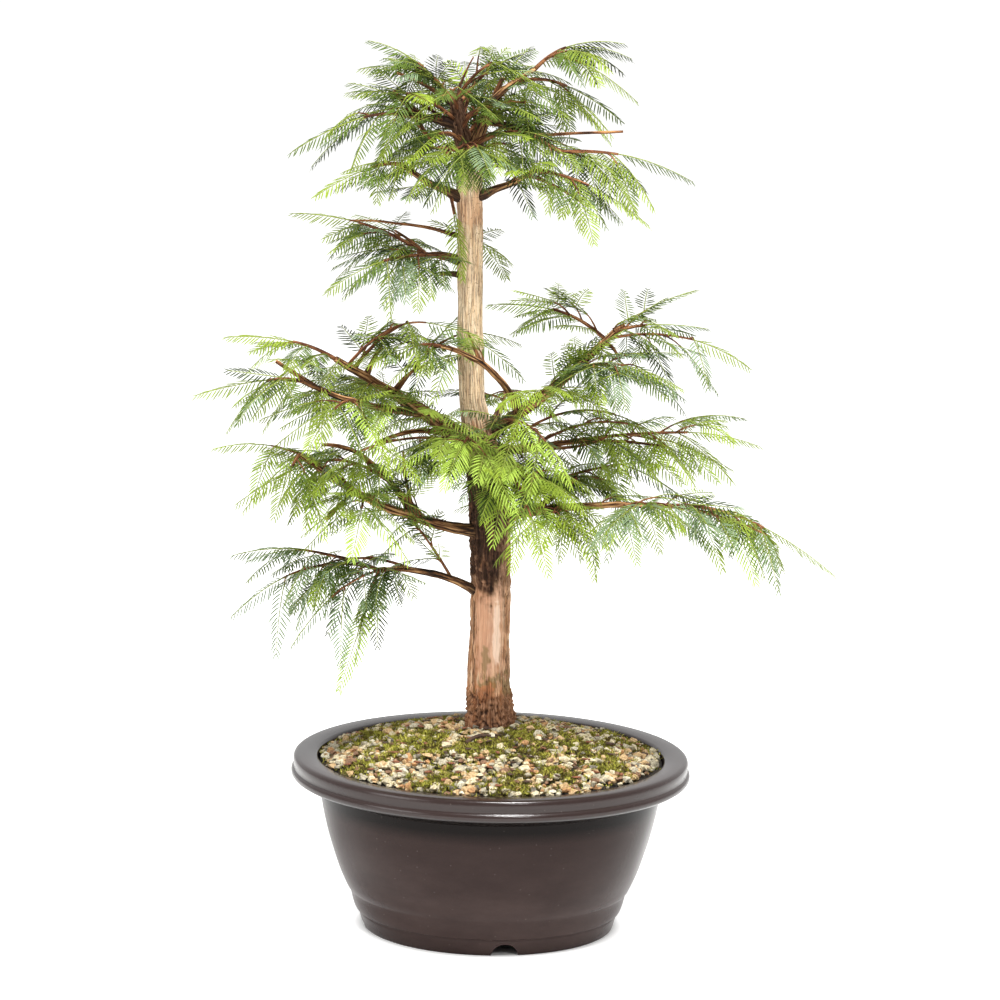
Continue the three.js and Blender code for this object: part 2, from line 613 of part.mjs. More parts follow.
// A mass of foliage: its stem cut clear of what carries it, with each twig and spray fused on
// unless it would touch a limb or another mass.
function makeMass(mass, curves, blocked, seed) {
  const root = rootOf(mass, curves);
  const { line, until, twigs, sprays } = growth(mass, root, seed);
  const stemShape = { ...TWIG.stem, until };
  let solid = limbSolid(line, stemShape);
  let guard = limbSolid(line, { ...stemShape, grown: CLEARANCE });
  solid = largestPiece(solid.subtract(blocked));
  const fuse = (piece, thick) => {
    if (!thick.intersect(blocked).isEmpty()) return false;
    if (piece.intersect(solid).isEmpty()) return false;
    solid = solid.add(piece);
    guard = guard.add(thick);
    return true;
  };
  for (const twig of twigs) {
    fuse(limbSolid(twig, TWIG.shoot), limbSolid(twig, { ...TWIG.shoot, grown: CLEARANCE }));
  }
  for (const spray of sprays) fuse(spraySolid(spray), spraySolid(spray, CLEARANCE));
  return { solid: largestPiece(solid), guard };
}

// ---------------------------------------------------------------------------------------------
// The plant
// ---------------------------------------------------------------------------------------------

const plant = new THREE.Group();

function addMesh(name, solid, look) {
  const mesh = new THREE.Mesh(geometryOf(solid), new THREE.MeshStandardMaterial(look));
  mesh.name = name;
  plant.add(mesh);
}

const pot = makePot();
const gravel = makeGravel();
const trunk = trunkSolid(0);
addMesh('pot', pot, COLOURS.pot);
addMesh('gravel', gravel, COLOURS.gravel);
addMesh('trunk', trunk, COLOURS.bark);

let blocked = pot.add(gravel).add(trunkSolid(CLEARANCE));
const curves = new Map();
for (const bough of BOUGHS) {
  const curve = new LimbCurve(rootOf(bough, curves), bough);
  const shape = { base: bough.base, tip: bough.tip, sides: BOUGH_SIDES, steps: BOUGH_STEPS };
  const solid = largestPiece(limbSolid(curve, shape).subtract(blocked));
  curves.set(bough.name, curve);
  blocked = blocked.add(limbSolid(curve, { ...shape, grown: CLEARANCE }));
  addMesh(bough.name, solid, COLOURS.bark);
}

MASSES.forEach((mass, index) => {
  const { solid, guard } = makeMass(mass, curves, blocked, index + 1);
  blocked = blocked.add(guard);
  addMesh(mass.name, solid, COLOURS.needles);
});

export default plant;
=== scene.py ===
"""Dresses the dawn redwood bonsai: its pot, gravel, bark and needles.

The file is laid out as an add-on and is run as a script. Lengths in the tables are in millimetres,
and every mesh is in metres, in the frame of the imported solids: +Z up, the front toward -Y.
A "turn" is a heading seen from above: 0 is right, 90 is back, 180 is left and 270 is front.
"""

import math

import bmesh
import bpy
import numpy as np
from bpy.props import FloatProperty, FloatVectorProperty, IntProperty, PointerProperty
from mathutils import Matrix, Vector, noise


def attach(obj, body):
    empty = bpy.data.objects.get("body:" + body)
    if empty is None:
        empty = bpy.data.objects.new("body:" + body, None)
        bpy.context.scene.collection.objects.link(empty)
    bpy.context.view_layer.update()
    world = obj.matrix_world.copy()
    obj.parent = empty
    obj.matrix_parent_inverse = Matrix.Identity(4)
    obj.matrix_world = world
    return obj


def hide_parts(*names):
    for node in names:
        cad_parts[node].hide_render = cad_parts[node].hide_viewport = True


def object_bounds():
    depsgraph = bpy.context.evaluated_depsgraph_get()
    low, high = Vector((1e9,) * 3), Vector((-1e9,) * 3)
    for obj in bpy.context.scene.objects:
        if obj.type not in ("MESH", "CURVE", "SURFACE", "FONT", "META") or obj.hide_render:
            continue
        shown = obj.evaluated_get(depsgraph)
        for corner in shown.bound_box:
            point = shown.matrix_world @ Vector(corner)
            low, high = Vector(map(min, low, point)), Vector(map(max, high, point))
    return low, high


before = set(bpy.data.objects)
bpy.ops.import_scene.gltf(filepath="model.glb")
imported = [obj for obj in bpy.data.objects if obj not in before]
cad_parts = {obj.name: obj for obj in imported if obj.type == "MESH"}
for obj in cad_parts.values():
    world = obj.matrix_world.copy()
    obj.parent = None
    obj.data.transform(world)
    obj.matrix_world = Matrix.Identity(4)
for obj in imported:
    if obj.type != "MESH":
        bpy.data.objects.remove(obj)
PACKED_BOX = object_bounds()

bl_info = {
    "name": "Dawn Redwood Bonsai",
    "version": (1, 0, 0),
    "blender": (4, 5, 0),
    "location": "View3D > Sidebar > Bonsai",
    "description": "Builds a potted dawn redwood from its limbs, sprays and needles",
    "category": "Add Mesh",
}

MM = 0.001
UP = np.array((0.0, 0.0, 1.0))
BODY = "root"

# ------------------------------------------------------------------------------------------------
# Sizes, in millimetres
# ------------------------------------------------------------------------------------------------

# The pot's wall in section, as radius and height, from the middle of the underside outwards,
# up the outside, over the rim and down the inside to the middle of the floor.
POT_SECTION = [
    # The pad in the middle of the underside, the raised floor and the foot ring.
    (0, 0), (27.2, 0), (28, 0.6), (29, 5), (88.6, 5), (89.4, 4.4), (90, 0.5), (90.6, 0),
    (96.3, 0), (97, 0.6), (98.4, 5),
    # The bead above the foot, and the step above the bead.
    (99.9, 10.2), (100.3, 11.6), (100.1, 12.5), (100.9, 13.3), (102.6, 14), (103.6, 16),
    (104.9, 20), (106.1, 25), (106.9, 28.4), (107.6, 29.6), (109.2, 31.2),
    # The wall, a little curved.
    (111.5, 36), (114, 41.5), (116.2, 47), (118.3, 53), (120.4, 59.6), (122.5, 66.2), (124.5, 73),
    (126.2, 79.5), (127.7, 86), (129, 92), (130, 97), (130.8, 101), (131.7, 106), (132.4, 109.6),
    # The slope out to the rim, the rim's rolled edge with its groove, and its top.
    (134.6, 110.9), (142, 113.6), (148.6, 116), (150.6, 116.6), (152.8, 118), (153.8, 119.3),
    (154, 121), (153.7, 122.4), (152.9, 123.4), (151.9, 124.1), (151.7, 125), (152.1, 126.6),
    (152.4, 129), (152.3, 131.4), (151.6, 132.9), (150.4, 133.7), (148.6, 134.1), (142, 133.9),
    (136, 133.5), (134.4, 133), (133.5, 132),
    # The inside of the wall, down to the floor.
    (133.2, 130), (128.6, 101), (124.2, 79.5), (117.5, 59), (111, 41.5), (106.4, 31), (101.5, 14),
    (97, 9), (0, 9),
]
POT_STEPS = 224
RIM_FOOT = 117
LIP_RADIUS = 133.3

# The half-round drains through the foot ring. Each cutter's middle stands at a radius, a little
# below the ground.
DRAINS = 4
DRAIN_TURN = 278
DRAIN_RADIUS = 10.5
DRAIN_PLACE = 96
DRAIN_BELOW = 1
DRAIN_LENGTH = 24

# The soil's dome, as the source has it: its heights at the wall and at the trunk, the radius of
# its seat there, how it curves, how much lower it is behind, and its rings of heaps and hollows.
SOIL_EDGE = 132
SOIL_SEAT = 158
SOIL_SEAT_RADIUS = 25
SOIL_CROWNING = 1.2
SOIL_BACK_DROP = 3
SOIL_RIM_GAP = 0.5
SOIL_RING_STEP = 9
SOIL_SPOKES = 32
SOIL_SEED = 5
HEAP, HOLLOW, UNEVENNESS = 2.2, -1.2, 0.3

# The bed of grit under the stones: it ends short of the lip, lies below the dome, and is closed
# at its foot.
BED_RADIUS = LIP_RADIUS - 1.2
BED_FOOT = 116
BED_FOOT_RADIUS = BED_RADIUS - 3
BED_DEPTH = 3
BED_RINGS = 60
BED_STEPS = 150

# The trunk's stations: height, lean to the right and radius.
TRUNK = [
    (155.5, -2, 20), (158.3, -2, 19.6), (166, -2, 17.9), (179, -2.5, 16.7), (215, -3, 15.6),
    (262, -3, 15), (308, -4, 15.4), (335, -6, 15.2), (362, -9, 14.2), (385, -15, 12.2),
    (411, -20, 9.9), (470, -23, 9.6), (540, -24, 9.5), (588, -26, 10), (604, -30, 7.2),
    (622, -34, 5.6), (641, -37, 4.8),
]
TRUNK_SIDES = 150
TRUNK_RINGS = 420
# Where the trunk's foot stands, as x and y.
TRUNK_FOOT = (TRUNK[0][1], 0)

# The root flare: its lobes round the trunk, their depth as a share of the radius, and its top.
BUTTRESSES = 5
BUTTRESS_DEPTH = 0.09
BUTTRESS_TOP = 185

# Boughs: name, what carries it (None for the trunk), the height on the trunk or the fraction
# along that bough, turn, reach, rise, bow, swing, radius at its root and at its tip.
BOUGHS = [
    ("low_left", None, 257, 200, 90, 26, 8, 0, 3.4, 1.8),
    ("left_lower", None, 309, 202, 156, 67, -13, 0, 4.6, 1.9),
    ("left_main", None, 366, 195, 118, 79, 3, 0, 6.4, 2.4),
    ("left_outer", "left_main", 0.42, 213, 106, 32, -5, 0, 3, 1.8),
    ("left_back", None, 374, 136, 100, 28, 4, 0, 4.2, 1.9),
    ("right_upper", None, 382, 6, 102, 82, -7, 0, 5.2, 2.4),
    ("crossing", "right_upper", 0.3, 210, 70, 56, 10, 13, 3, 1.7),
    ("right_mid", None, 371, 12, 62, 6, -1, 0, 4.6, 2.1),
    ("right_low", None, 318, 344, 130, 20, 5, 0, 4.4, 1.7),
    ("back", None, 372, 81, 101, 20, 4, 0, 4.6, 2),
    ("upper_left", None, 515, 189, 33, 7, 2, 0, 3.4, 2.2),
    ("crown_left_low", None, 563, 196, 55, 29, -2, 0, 3.6, 1.9),
    ("crown_right_low", None, 565, 337, 52, 25, -2, 0, 3.4, 1.9),
    ("crown_left", None, 619, 195, 39, 9, 2, 0, 3.2, 2),
    ("crown_fork", None, 592, 0, 15, 46, -2, 0, 6, 3.6),
    ("crown_right", "crown_fork", 0.75, 337, 64, -20, 3, 0, 2.8, 1.7),
    ("crown_top_right", "crown_fork", 0.97, 16, 36, 27, 2, 0, 2.8, 1.7),
]

# Masses of foliage: name, what carries it, where, turn, reach, rise, bow, spread, shoots, sag,
# the piece that it goes into and the blend of greens that it has.
MASSES = [
    ("low_left", "low_left", 1, 191, 108, 20, 6, 110, 4, 22, "low", "blue"),
    ("low_left_hanging", "low_left", 1, 225, 30, -86, 14, 50, 2, 8, "low", "pale"),
    ("left_lower", "left_lower", 1, 252, 44, -38, 8, 78, 2, 14, "low", "bright"),
    ("left_lower_front", "left_lower", 0.66, 267, 74, -38, 12, 96, 3, 14, "low", "bright"),
    ("left_rising", "left_lower", 0.34, 197, 136, 18, 40, 96, 4, 24, "low", "mid"),
    ("left_main", "left_main", 1, 190, 82, 8, 11, 96, 4, 12, "left", "mid"),
    ("left_arch", "left_main", 0.88, 18, 82, 28, 20, 84, 4, 14, "left", "mid"),
    ("left_outer", "left_outer", 1, 196, 76, -16, 8, 84, 3, 12, "left", "bright"),
    ("left_front", "left_outer", 0.55, 250, 92, -26, 14, 100, 4, 14, "left", "mid"),
    ("left_inner", "left_main", 0.28, 262, 84, 24, 8, 84, 3, 16, "left", "mid"),
    ("left_back", "left_back", 1, 140, 88, -4, 10, 120, 4, 14, "left", "deep"),
    ("right_arch", "right_upper", 0.94, 178, 88, 12, 17, 88, 4, 12, "right", "pale"),
    ("right_upper", "right_upper", 1, 350, 70, 0, 7, 84, 3, 9, "right", "deep"),
    ("right_upper_front", "right_upper", 0.7, 322, 98, -4, 12, 104, 5, 18, "right", "blue"),
    ("right_inner", "right_upper", 0.42, 284, 86, 14, 12, 100, 4, 16, "right", "mid"),
    ("crossing", "crossing", 1, 206, 56, -16, 8, 66, 2, 12, "right", "mid"),
    ("right_mid", "right_mid", 1, 1, 148, 8, 5, 104, 7, 18, "right", "mid"),
    ("front", None, 376, 258, 110, -10, 18, 104, 5, 26, "front", "fresh"),
    ("front_right", None, 340, 304, 122, 8, 18, 100, 5, 24, "front", "fresh"),
    ("right_low", "right_low", 1, 350, 132, -42, 16, 100, 5, 16, "front", "deep"),
    ("right_low_front", "right_low", 0.86, 290, 82, -8, 10, 110, 4, 24, "front", "blue"),
    ("right_low_inner", "right_low", 0.42, 262, 80, -20, 10, 76, 3, 20, "front", "bright"),
    ("right_rear", None, 327, 32, 170, 24, 10, 110, 4, 16, "front", "mid"),
    ("back", "back", 1, 88, 92, -10, 8, 110, 4, 14, "back", "mid"),
    ("back_left", None, 345, 112, 150, 10, 10, 90, 4, 16, "back", "deep"),
    ("upper_left", "upper_left", 1, 184, 102, 28, 10, 72, 4, 12, "upper", "deep"),
    ("upper_left_front", "upper_left", 0.55, 220, 112, -14, 9, 84, 5, 16, "upper", "blue"),
    ("upper_left_back", "upper_left", 1, 132, 88, 20, 6, 76, 3, 14, "upper", "deep"),
    ("upper_rear", None, 530, 58, 42, -46, 18, 50, 1, 6, "upper", "mid"),
    ("crown_left", "crown_left", 1, 198, 84, -28, 12, 104, 4, 18, "crown", "crown"),
    ("crown_left_low", "crown_left_low", 1, 210, 66, -28, 10, 70, 2, 10, "crown", "crown"),
    ("crown_left_high", "crown_left", 0.7, 142, 74, 18, 6, 78, 3, 12, "crown", "crown"),
    ("crown_top_left", None, 632, 184, 72, 44, 17, 100, 5, 20, "crown", "crown"),
    ("crown_top_right", "crown_top_right", 1, 346, 66, 8, 16, 100, 5, 22, "crown", "crown"),
    ("crown_right_rear", "crown_top_right", 0.55, 38, 98, -36, 14, 92, 4, 14, "crown", "crown"),
    ("crown_right", "crown_right", 1, 358, 94, -14, 6, 96, 4, 20, "crown", "crown"),
    ("crown_right_low", "crown_right_low", 1, 328, 98, -30, 8, 76, 3, 16, "crown", "crown"),
    ("crown_front", None, 603, 282, 96, -14, 14, 110, 4, 18, "crown", "crown"),
    ("crown_back", None, 598, 80, 140, 44, 18, 124, 6, 16, "crown", "crown"),
    ("trunk_hanging", "crown_left_low", 0.28, 292, 24, -62, 8, 40, 0, 4, "upper", "fresh"),
]

# Bare twigs and cut stubs, as the boughs above.
BARE_TWIGS = [
    ("trunk_cut", None, 379, 258, 17, 2, 0, 0, 4.6, 3.7),
    ("main_stub", "left_main", 0.8, 50, 18, 22, 0, 0, 2.0, 1.5),
    ("main_stub_low", "left_main", 0.2, 205, 66, -2, 6, 0, 2.4, 1.2),
    ("main_twig", "left_main", 0.62, 20, 26, 20, 4, 0, 1.5, 0.9),
    ("outer_stub", "left_outer", 0.9, 170, 30, 18, 0, 0, 1.8, 1.4),
    ("lower_stub", "left_lower", 0.72, 230, 30, -18, 0, 0, 1.9, 1.4),
    ("lower_riser", "left_lower", 0.4, 188, 72, 56, 16, 0, 2.7, 1.3),
    ("lower_riser_twig", "left_lower", 0.4, 165, 10, 50, 0, 4, 1.6, 0.8),
    ("right_cut", "right_upper", 1, 10, 8, 5, 0, 0, 2.4, 2.2),
    ("right_fork", "right_upper", 0.9, 40, 20, -14, 6, 0, 1.7, 0.9),
    ("right_mid_outer", "right_mid", 0.9, 352, 86, 2, 3, 0, 1.8, 0.9),
    ("right_mid_twig", "right_mid", 0.7, 330, 60, 14, -4, 0, 1.5, 0.8),
    ("low_fork", "right_low", 0.22, 18, 40, 26, -3, 0, 2.4, 1.7),
    ("low_outer", "right_low", 0.95, 352, 92, -18, 6, 0, 1.5, 0.7),
    ("crossing_fork", "crossing", 0.6, 130, 16, 22, 0, 0, 1.5, 0.9),
    ("upper_short", None, 503, 196, 24, 5, 2, 0, 2.2, 1.3),
    ("upper_long", None, 534, 187, 92, 14, 4, 0, 1.5, 0.7),
    ("crown_hanging", "crown_left", 0.9, 20, 16, -20, -2, 0, 1.7, 1.1),
    ("crown_stub", "crown_left", 0.8, 160, 22, 18, 0, 0, 1.9, 1.5),
    ("crown_left_twig", None, 634, 186, 46, 26, 3, 0, 1.9, 1.0),
    ("crown_top_stub", "crown_fork", 0.9, 35, 14, 24, 0, 0, 1.9, 1.4),
    ("crown_straight", "crown_right", 0.6, 3, 70, 4, 0, 0, 1.4, 0.9),
    ("crown_up_twig", None, 638, 20, 13, 34, 0, 5, 1.1, 0.5),
    ("crown_low_twig", "crown_right_low", 0.9, 20, 44, -22, 2, 0, 1.6, 0.9),
]

# Those of them that end in a cut, which shows pale wood.
CUT_ENDS = {
    "trunk_cut", "main_stub", "main_stub_low", "outer_stub", "lower_stub", "right_cut",
    "crown_stub", "crown_top_stub", "upper_short",
}

# Boughs that carry sprays of their own: the piece, where along the bough they begin, and the blend.
LEAFY_BOUGHS = {
    "low_left": ("low", 0.78, "blue"),
    "left_lower": ("low", 0.36, "mid"),
    "left_main": ("left", 0.5, "mid"),
    "left_outer": ("left", 0.25, "mid"),
    "left_back": ("left", 0.3, "deep"),
    "right_upper": ("right", 0.5, "mid"),
    "crossing": ("right", 0.55, "mid"),
    "right_mid": ("right", 0.35, "mid"),
    "right_low": ("front", 0.25, "bright"),
    "back": ("back", 0.3, "mid"),
    "upper_left": ("upper", 0.4, "blue"),
    "crown_left_low": ("crown", 0.4, "crown"),
    "crown_right_low": ("crown", 0.35, "crown"),
    "crown_left": ("crown", 0.3, "crown"),
    "crown_fork": ("crown", 0.3, "crown"),
    "crown_right": ("crown", 0.25, "crown"),
    "crown_top_right": ("crown", 0.2, "crown"),
}

# Thin twigs that carry sprays of their own, as the boughs above, with the piece and the blend.
LEAFY_TWIGS = [
    ("main_thread", "left_main", 0.15, 224, 104, 4, 6, "left", "mid"),
    ("arch_high", "left_main", 0.92, 350, 60, 36, 10, "left", "mid"),
    ("arch_rear", "left_main", 0.6, 30, 66, 44, 12, "left", "pale"),
    ("lower_thread_high", "left_lower", 0.7, 178, 66, 34, 6, "low", "mid"),
    ("low_fan", "low_left", 0.85, 214, 58, -16, 6, "low", "blue"),
    ("low_fan_back", "low_left", 0.7, 168, 66, 2, 6, "low", "blue"),
    ("low_fan_outer", "low_left", 1, 178, 74, -8, 8, "low", "blue"),
    ("low_riser", "low_left", 0.35, 172, 30, 42, 2, "low", "pale"),
    ("right_sprig", "right_upper", 0.95, 352, 66, 2, 4, "right", "deep"),
    ("mid_crest", "right_mid", 0.2, 14, 92, 26, 14, "right", "mid"),
    ("mid_crest_outer", "right_mid", 0.62, 350, 74, 22, 8, "right", "bright"),
    ("front_spread", None, 384, 302, 96, 10, 14, "front", "fresh"),
    ("front_hanging", None, 356, 292, 92, -18, 16, "front", "fresh"),
]

# Short leafy shoots that stand round the top of the trunk, each from a height on it.
TOP_SHOOTS = 19
TOP_LOW, TOP_HIGH = 586, 640
GOLDEN_TURN = 137.5

# The bare knob of the trunk under the crown, which sprays leave open in front: its heights, and
# how far to each side it stays open.
KNOB_LOW, KNOB_HIGH = 604, 644
KNOB_REACH = 17

# The share of places on the twiglets where no spray grows.
BARE_SHARE = 0.16

# By piece: how far apart the twiglets stand along a twig, and how much they rise or hang.
TWIGLETS = {
    "low": (13, -0.05), "left": (19, -0.12), "right": (11, 0.05), "front": (9.5, 0.04),
    "back": (12, 0.0), "upper": (13, 0.0), "crown": (27, -0.06),
}

# Thin wood: its radius at its root, and how much thinner it is at its tip.
STEM_RADIUS = (1.7, 0.8)
LEAFY_TWIG_RADIUS = (1.3, 0.6)
TWIG_RADIUS = (1.05, 0.45)
TWIGLET_RADIUS = (0.95, 0.4)
STALK_RADIUS = (0.55, 0.3)
SURFACE_ROOT_RADIUS = (1.9, 0.8)

# The growth rule's sizes, as the source has them.
SPRAY_LENGTH = 58
SPRAY_WIDTH = 33
SHORTEST_STEM = 0.36
SUNK = 1.5
OFF_ANGLE = 52
OFF_JITTER = 10
DROOP = 0.28
ROLL = 34

# The last green, shaded, is painted shade: a darker green for needles in the crown's shadow.
GREENS = ["fresh", "bright", "mid", "deep", "blue", "shaded"]

# The share of each of those greens in a blend.
BLENDS = {
    "fresh": (0.40, 0.36, 0.17, 0.05, 0.00, 0.02),
    "pale": (0.22, 0.43, 0.27, 0.08, 0.00, 0.00),
    "bright": (0.24, 0.40, 0.29, 0.07, 0.00, 0.00),
    "mid": (0.08, 0.28, 0.40, 0.20, 0.03, 0.01),
    # The crown's blend leans to deep and shaded greens: painted shade, as the crown lies darker.
    "crown": (0.01, 0.08, 0.38, 0.40, 0.03, 0.10),
    "deep": (0.02, 0.10, 0.28, 0.30, 0.28, 0.02),
    "blue": (0.00, 0.05, 0.14, 0.23, 0.58, 0.00),
}


def linear(colour):
    """The linear red, green and blue of an sRGB hex colour."""
    parts = [int(colour[i:i + 2], 16) / 255 for i in (1, 3, 5)]
    return tuple(c / 12.92 if c <= 0.04045 else ((c + 0.055) / 1.055) ** 2.4 for c in parts)


# ------------------------------------------------------------------------------------------------
# Settings
# ------------------------------------------------------------------------------------------------

def colour_setting(name, colour, description):
    """A colour that the panel shows, with an sRGB hex colour as its default."""
    return FloatVectorProperty(
        name=name, description=description, subtype="COLOR", size=3, min=0, max=1,
        default=linear(colour))


class PotSettings(bpy.types.PropertyGroup):
    wear: FloatProperty(
        name="Dust", description="How much dust lies on the plastic", subtype="FACTOR",
        default=0.16, min=0, max=1)
    colour: colour_setting("Plastic", "#271C1A", "The plastic's own colour")


class GravelSettings(bpy.types.PropertyGroup):
    stones: IntProperty(
        name="Stones", description="How many stones lie in the top layer", default=2900, min=100)
    smallest: FloatProperty(
        name="Smallest", description="Size of the smallest stones", unit="LENGTH",
        default=0.0026, min=0.001)
    largest: FloatProperty(
        name="Largest", description="Size of the largest stones", unit="LENGTH",
        default=0.0128, min=0.002)
    moss: IntProperty(
        name="Moss", description="How many tufts of moss grow among the stones", default=3200,
        min=0)
    # Its near black is partly the damp grit's own and partly painted shade between the stones.
    soil: colour_setting("Soil", "#241C14", "The damp grit under the stones")


class BarkSettings(bpy.types.PropertyGroup):
    relief: FloatProperty(
        name="Relief", description="How far the trunk's ridges stand out", unit="LENGTH",
        default=0.0009, min=0)
    tan: colour_setting("Tan", "#CFA380", "Weathered bark on the trunk")
    dark: colour_setting("Dark", "#2D1C14", "Old bark round the boughs' roots")
    peeled: colour_setting("Peeled", "#CFA48A", "Young bark where strips have come away")


class FoliageSettings(bpy.types.PropertyGroup):
    needle_width: FloatProperty(
        name="Needle width", description="Width of a needle at its widest", unit="LENGTH",
        default=0.00126, min=0.0002)
    needle_spacing: FloatProperty(
        name="Needle spacing", description="Distance between two pairs of needles along a spray",
        unit="LENGTH", default=0.0029, min=0.0005)
    fresh: colour_setting("Fresh", "#90A843", "Needles of this month")
    bright: colour_setting("Bright", "#7F922F", "Young needles")
    mid: colour_setting("Mid", "#6C7C2C", "Full-grown needles")
    deep: colour_setting("Deep", "#4E6124", "Older needles")
    blue: colour_setting("Blue", "#6E805E", "Old needles with a blue bloom")
    # Painted shade: the green of needles that lie in the crown's shadow.
    shaded: colour_setting("Shaded", "#2B3910", "Needles deep inside the crown")


class StageSettings(bpy.types.PropertyGroup):
    floor: colour_setting("Floor", "#F2F2F0", "The table that the pot stands on")
    glow: FloatProperty(
        name="Table glow", description="How brightly the table is lit from below", default=0.45,
        min=0)
    key: FloatProperty(
        name="Key light", description="Power of the large light overhead", unit="POWER",
        default=112, min=0)
    sky: FloatProperty(
        name="Sky", description="Strength of the even light all round", default=1.04, min=0)


SETTINGS = {
    "bonsai_pot": PotSettings,
    "bonsai_gravel": GravelSettings,
    "bonsai_bark": BarkSettings,
    "bonsai_foliage": FoliageSettings,
    "bonsai_stage": StageSettings,
}


# ------------------------------------------------------------------------------------------------
# Materials
# ------------------------------------------------------------------------------------------------

def add_node(tree, kind, inputs=None, stops=(), **settings):
    """Adds a node with its settings, its inputs set or linked, and a ramp's stops."""
    node = tree.nodes.new(kind)
    for name, value in settings.items():
        setattr(node, name, value)
    for key, value in (inputs or {}).items():
        if isinstance(value, bpy.types.NodeSocket):
            tree.links.new(value, node.inputs[key])
        else:
            node.inputs[key].default_value = value
    if stops:
        elements = node.color_ramp.elements
        elements.remove(elements[-1])
        elements[0].position, elements[0].color = stops[0]
        for place, colour in stops[1:]:
            elements.new(place).color = colour
    return node


def opaque(colour):
    """A colour as four values, from an sRGB hex colour or from a setting."""
    return (*(linear(colour) if isinstance(colour, str) else colour), 1.0)


def grey(value):
    """A grey stop for a ramp that carries a number."""
    return (value, value, value, 1.0)


def new_material(name, colour, roughness, ior=1.45, specular=0.5):
    """A material of one finish, with its shader to build a pattern on."""
    material = bpy.data.materials.new(name)
    material.use_nodes = True
    shader = material.node_tree.nodes["Principled BSDF"]
    shader.inputs["Base Color"].default_value = opaque(colour)
    shader.inputs["Roughness"].default_value = roughness
    shader.inputs["IOR"].default_value = ior
    shader.inputs["Specular IOR Level"].default_value = specular
    return material, material.node_tree, shader


def moulded_plastic(name, settings, gloss):
    """Polypropylene from a mould: satin brown, greyed by dust and painted light, with a painted
    shadow under the rim.
    """
    material, tree, shader = new_material(name, settings.colour, 0.22, 1.49, gloss)
    place = add_node(tree, "ShaderNodeTexCoord").outputs["Object"]
    height = add_node(tree, "ShaderNodeSeparateXYZ", {"Vector": place}).outputs["Z"]
    # Watermarks and dust, about 60 mm across, stretched round the wall, and paler low down with
    # painted light.
    wide = add_node(tree, "ShaderNodeMapping", {"Vector": place, "Scale": (10, 10, 24)})
    dust = add_node(tree, "ShaderNodeTexNoise", {
        "Vector": wide.outputs[0], "Scale": 1.6, "Detail": 5, "Roughness": 0.62})
    film = add_node(tree, "ShaderNodeValToRGB", {"Fac": dust.outputs[0]}, stops=[
        (0.34, grey(0.05)), (0.72, grey(settings.wear))])
    # The film is four times as thick at the foot as under the rim: that rise is painted light from
    # the white table.
    painted_table_light = add_node(tree, "ShaderNodeMapRange", {
        "Value": height, "From Min": 0.1, "From Max": 0.01, "To Min": 0.5, "To Max": 2.0})
    dust_and_table_light = add_node(tree, "ShaderNodeMath", {
        0: film.outputs[0], 1: painted_table_light.outputs[0]}, operation="MULTIPLY")
    dusted_and_table_lit = add_node(tree, "ShaderNodeMix", {
        "Factor": dust_and_table_light.outputs[0], "A": opaque(settings.colour), "B": opaque("#5A4A46")},
        data_type="RGBA")
    # Under the rim, from 94 to 119 mm up, the plastic is painted nearly black: a painted shadow of
    # the rim.
    share = add_node(tree, "ShaderNodeMapRange", {
        "Value": height, "From Min": 0.09, "From Max": 0.13})
    painted_rim_shadow = add_node(tree, "ShaderNodeValToRGB", {"Fac": share.outputs[0]}, stops=[
        (0.08, grey(0)), (0.34, grey(0.9)), (0.68, grey(0.9)), (0.74, grey(0))])
    # The dusty plastic with the painted rim shadow laid over it.
    kept = add_node(tree, "ShaderNodeMix", {
        "Factor": painted_rim_shadow.outputs[0], "A": dusted_and_table_lit.outputs[2], "B": opaque("#080504")},
        data_type="RGBA")
    # Specks of grit and scuffs under 1 mm.
    specks = add_node(tree, "ShaderNodeTexVoronoi", {"Vector": place, "Scale": 150})
    speck = add_node(tree, "ShaderNodeValToRGB", {"Fac": specks.outputs[0]}, stops=[
        (0.03, grey(0.35)), (0.06, grey(0))])
    finish = add_node(tree, "ShaderNodeMix", {
        "Factor": speck.outputs[0], "A": kept.outputs[2], "B": opaque("#8A7F7A")},
        data_type="RGBA")
    tree.links.new(finish.outputs[2], shader.inputs["Base Color"])
    satin = add_node(tree, "ShaderNodeMapRange", {
        "Value": dust.outputs[0], "To Min": 0.17, "To Max": 0.28})
    tree.links.new(satin.outputs[0], shader.inputs["Roughness"])
    # The mould's fine texture, drawn at 1.5 mm so that it shows.
    grain = add_node(tree, "ShaderNodeTexNoise", {"Vector": place, "Scale": 650, "Detail": 2})
    bump = add_node(tree, "ShaderNodeBump", {
        "Height": grain.outputs[0], "Strength": 0.25, "Distance": 0.0004})
    tree.links.new(bump.outputs[0], shader.inputs["Normal"])
    return material


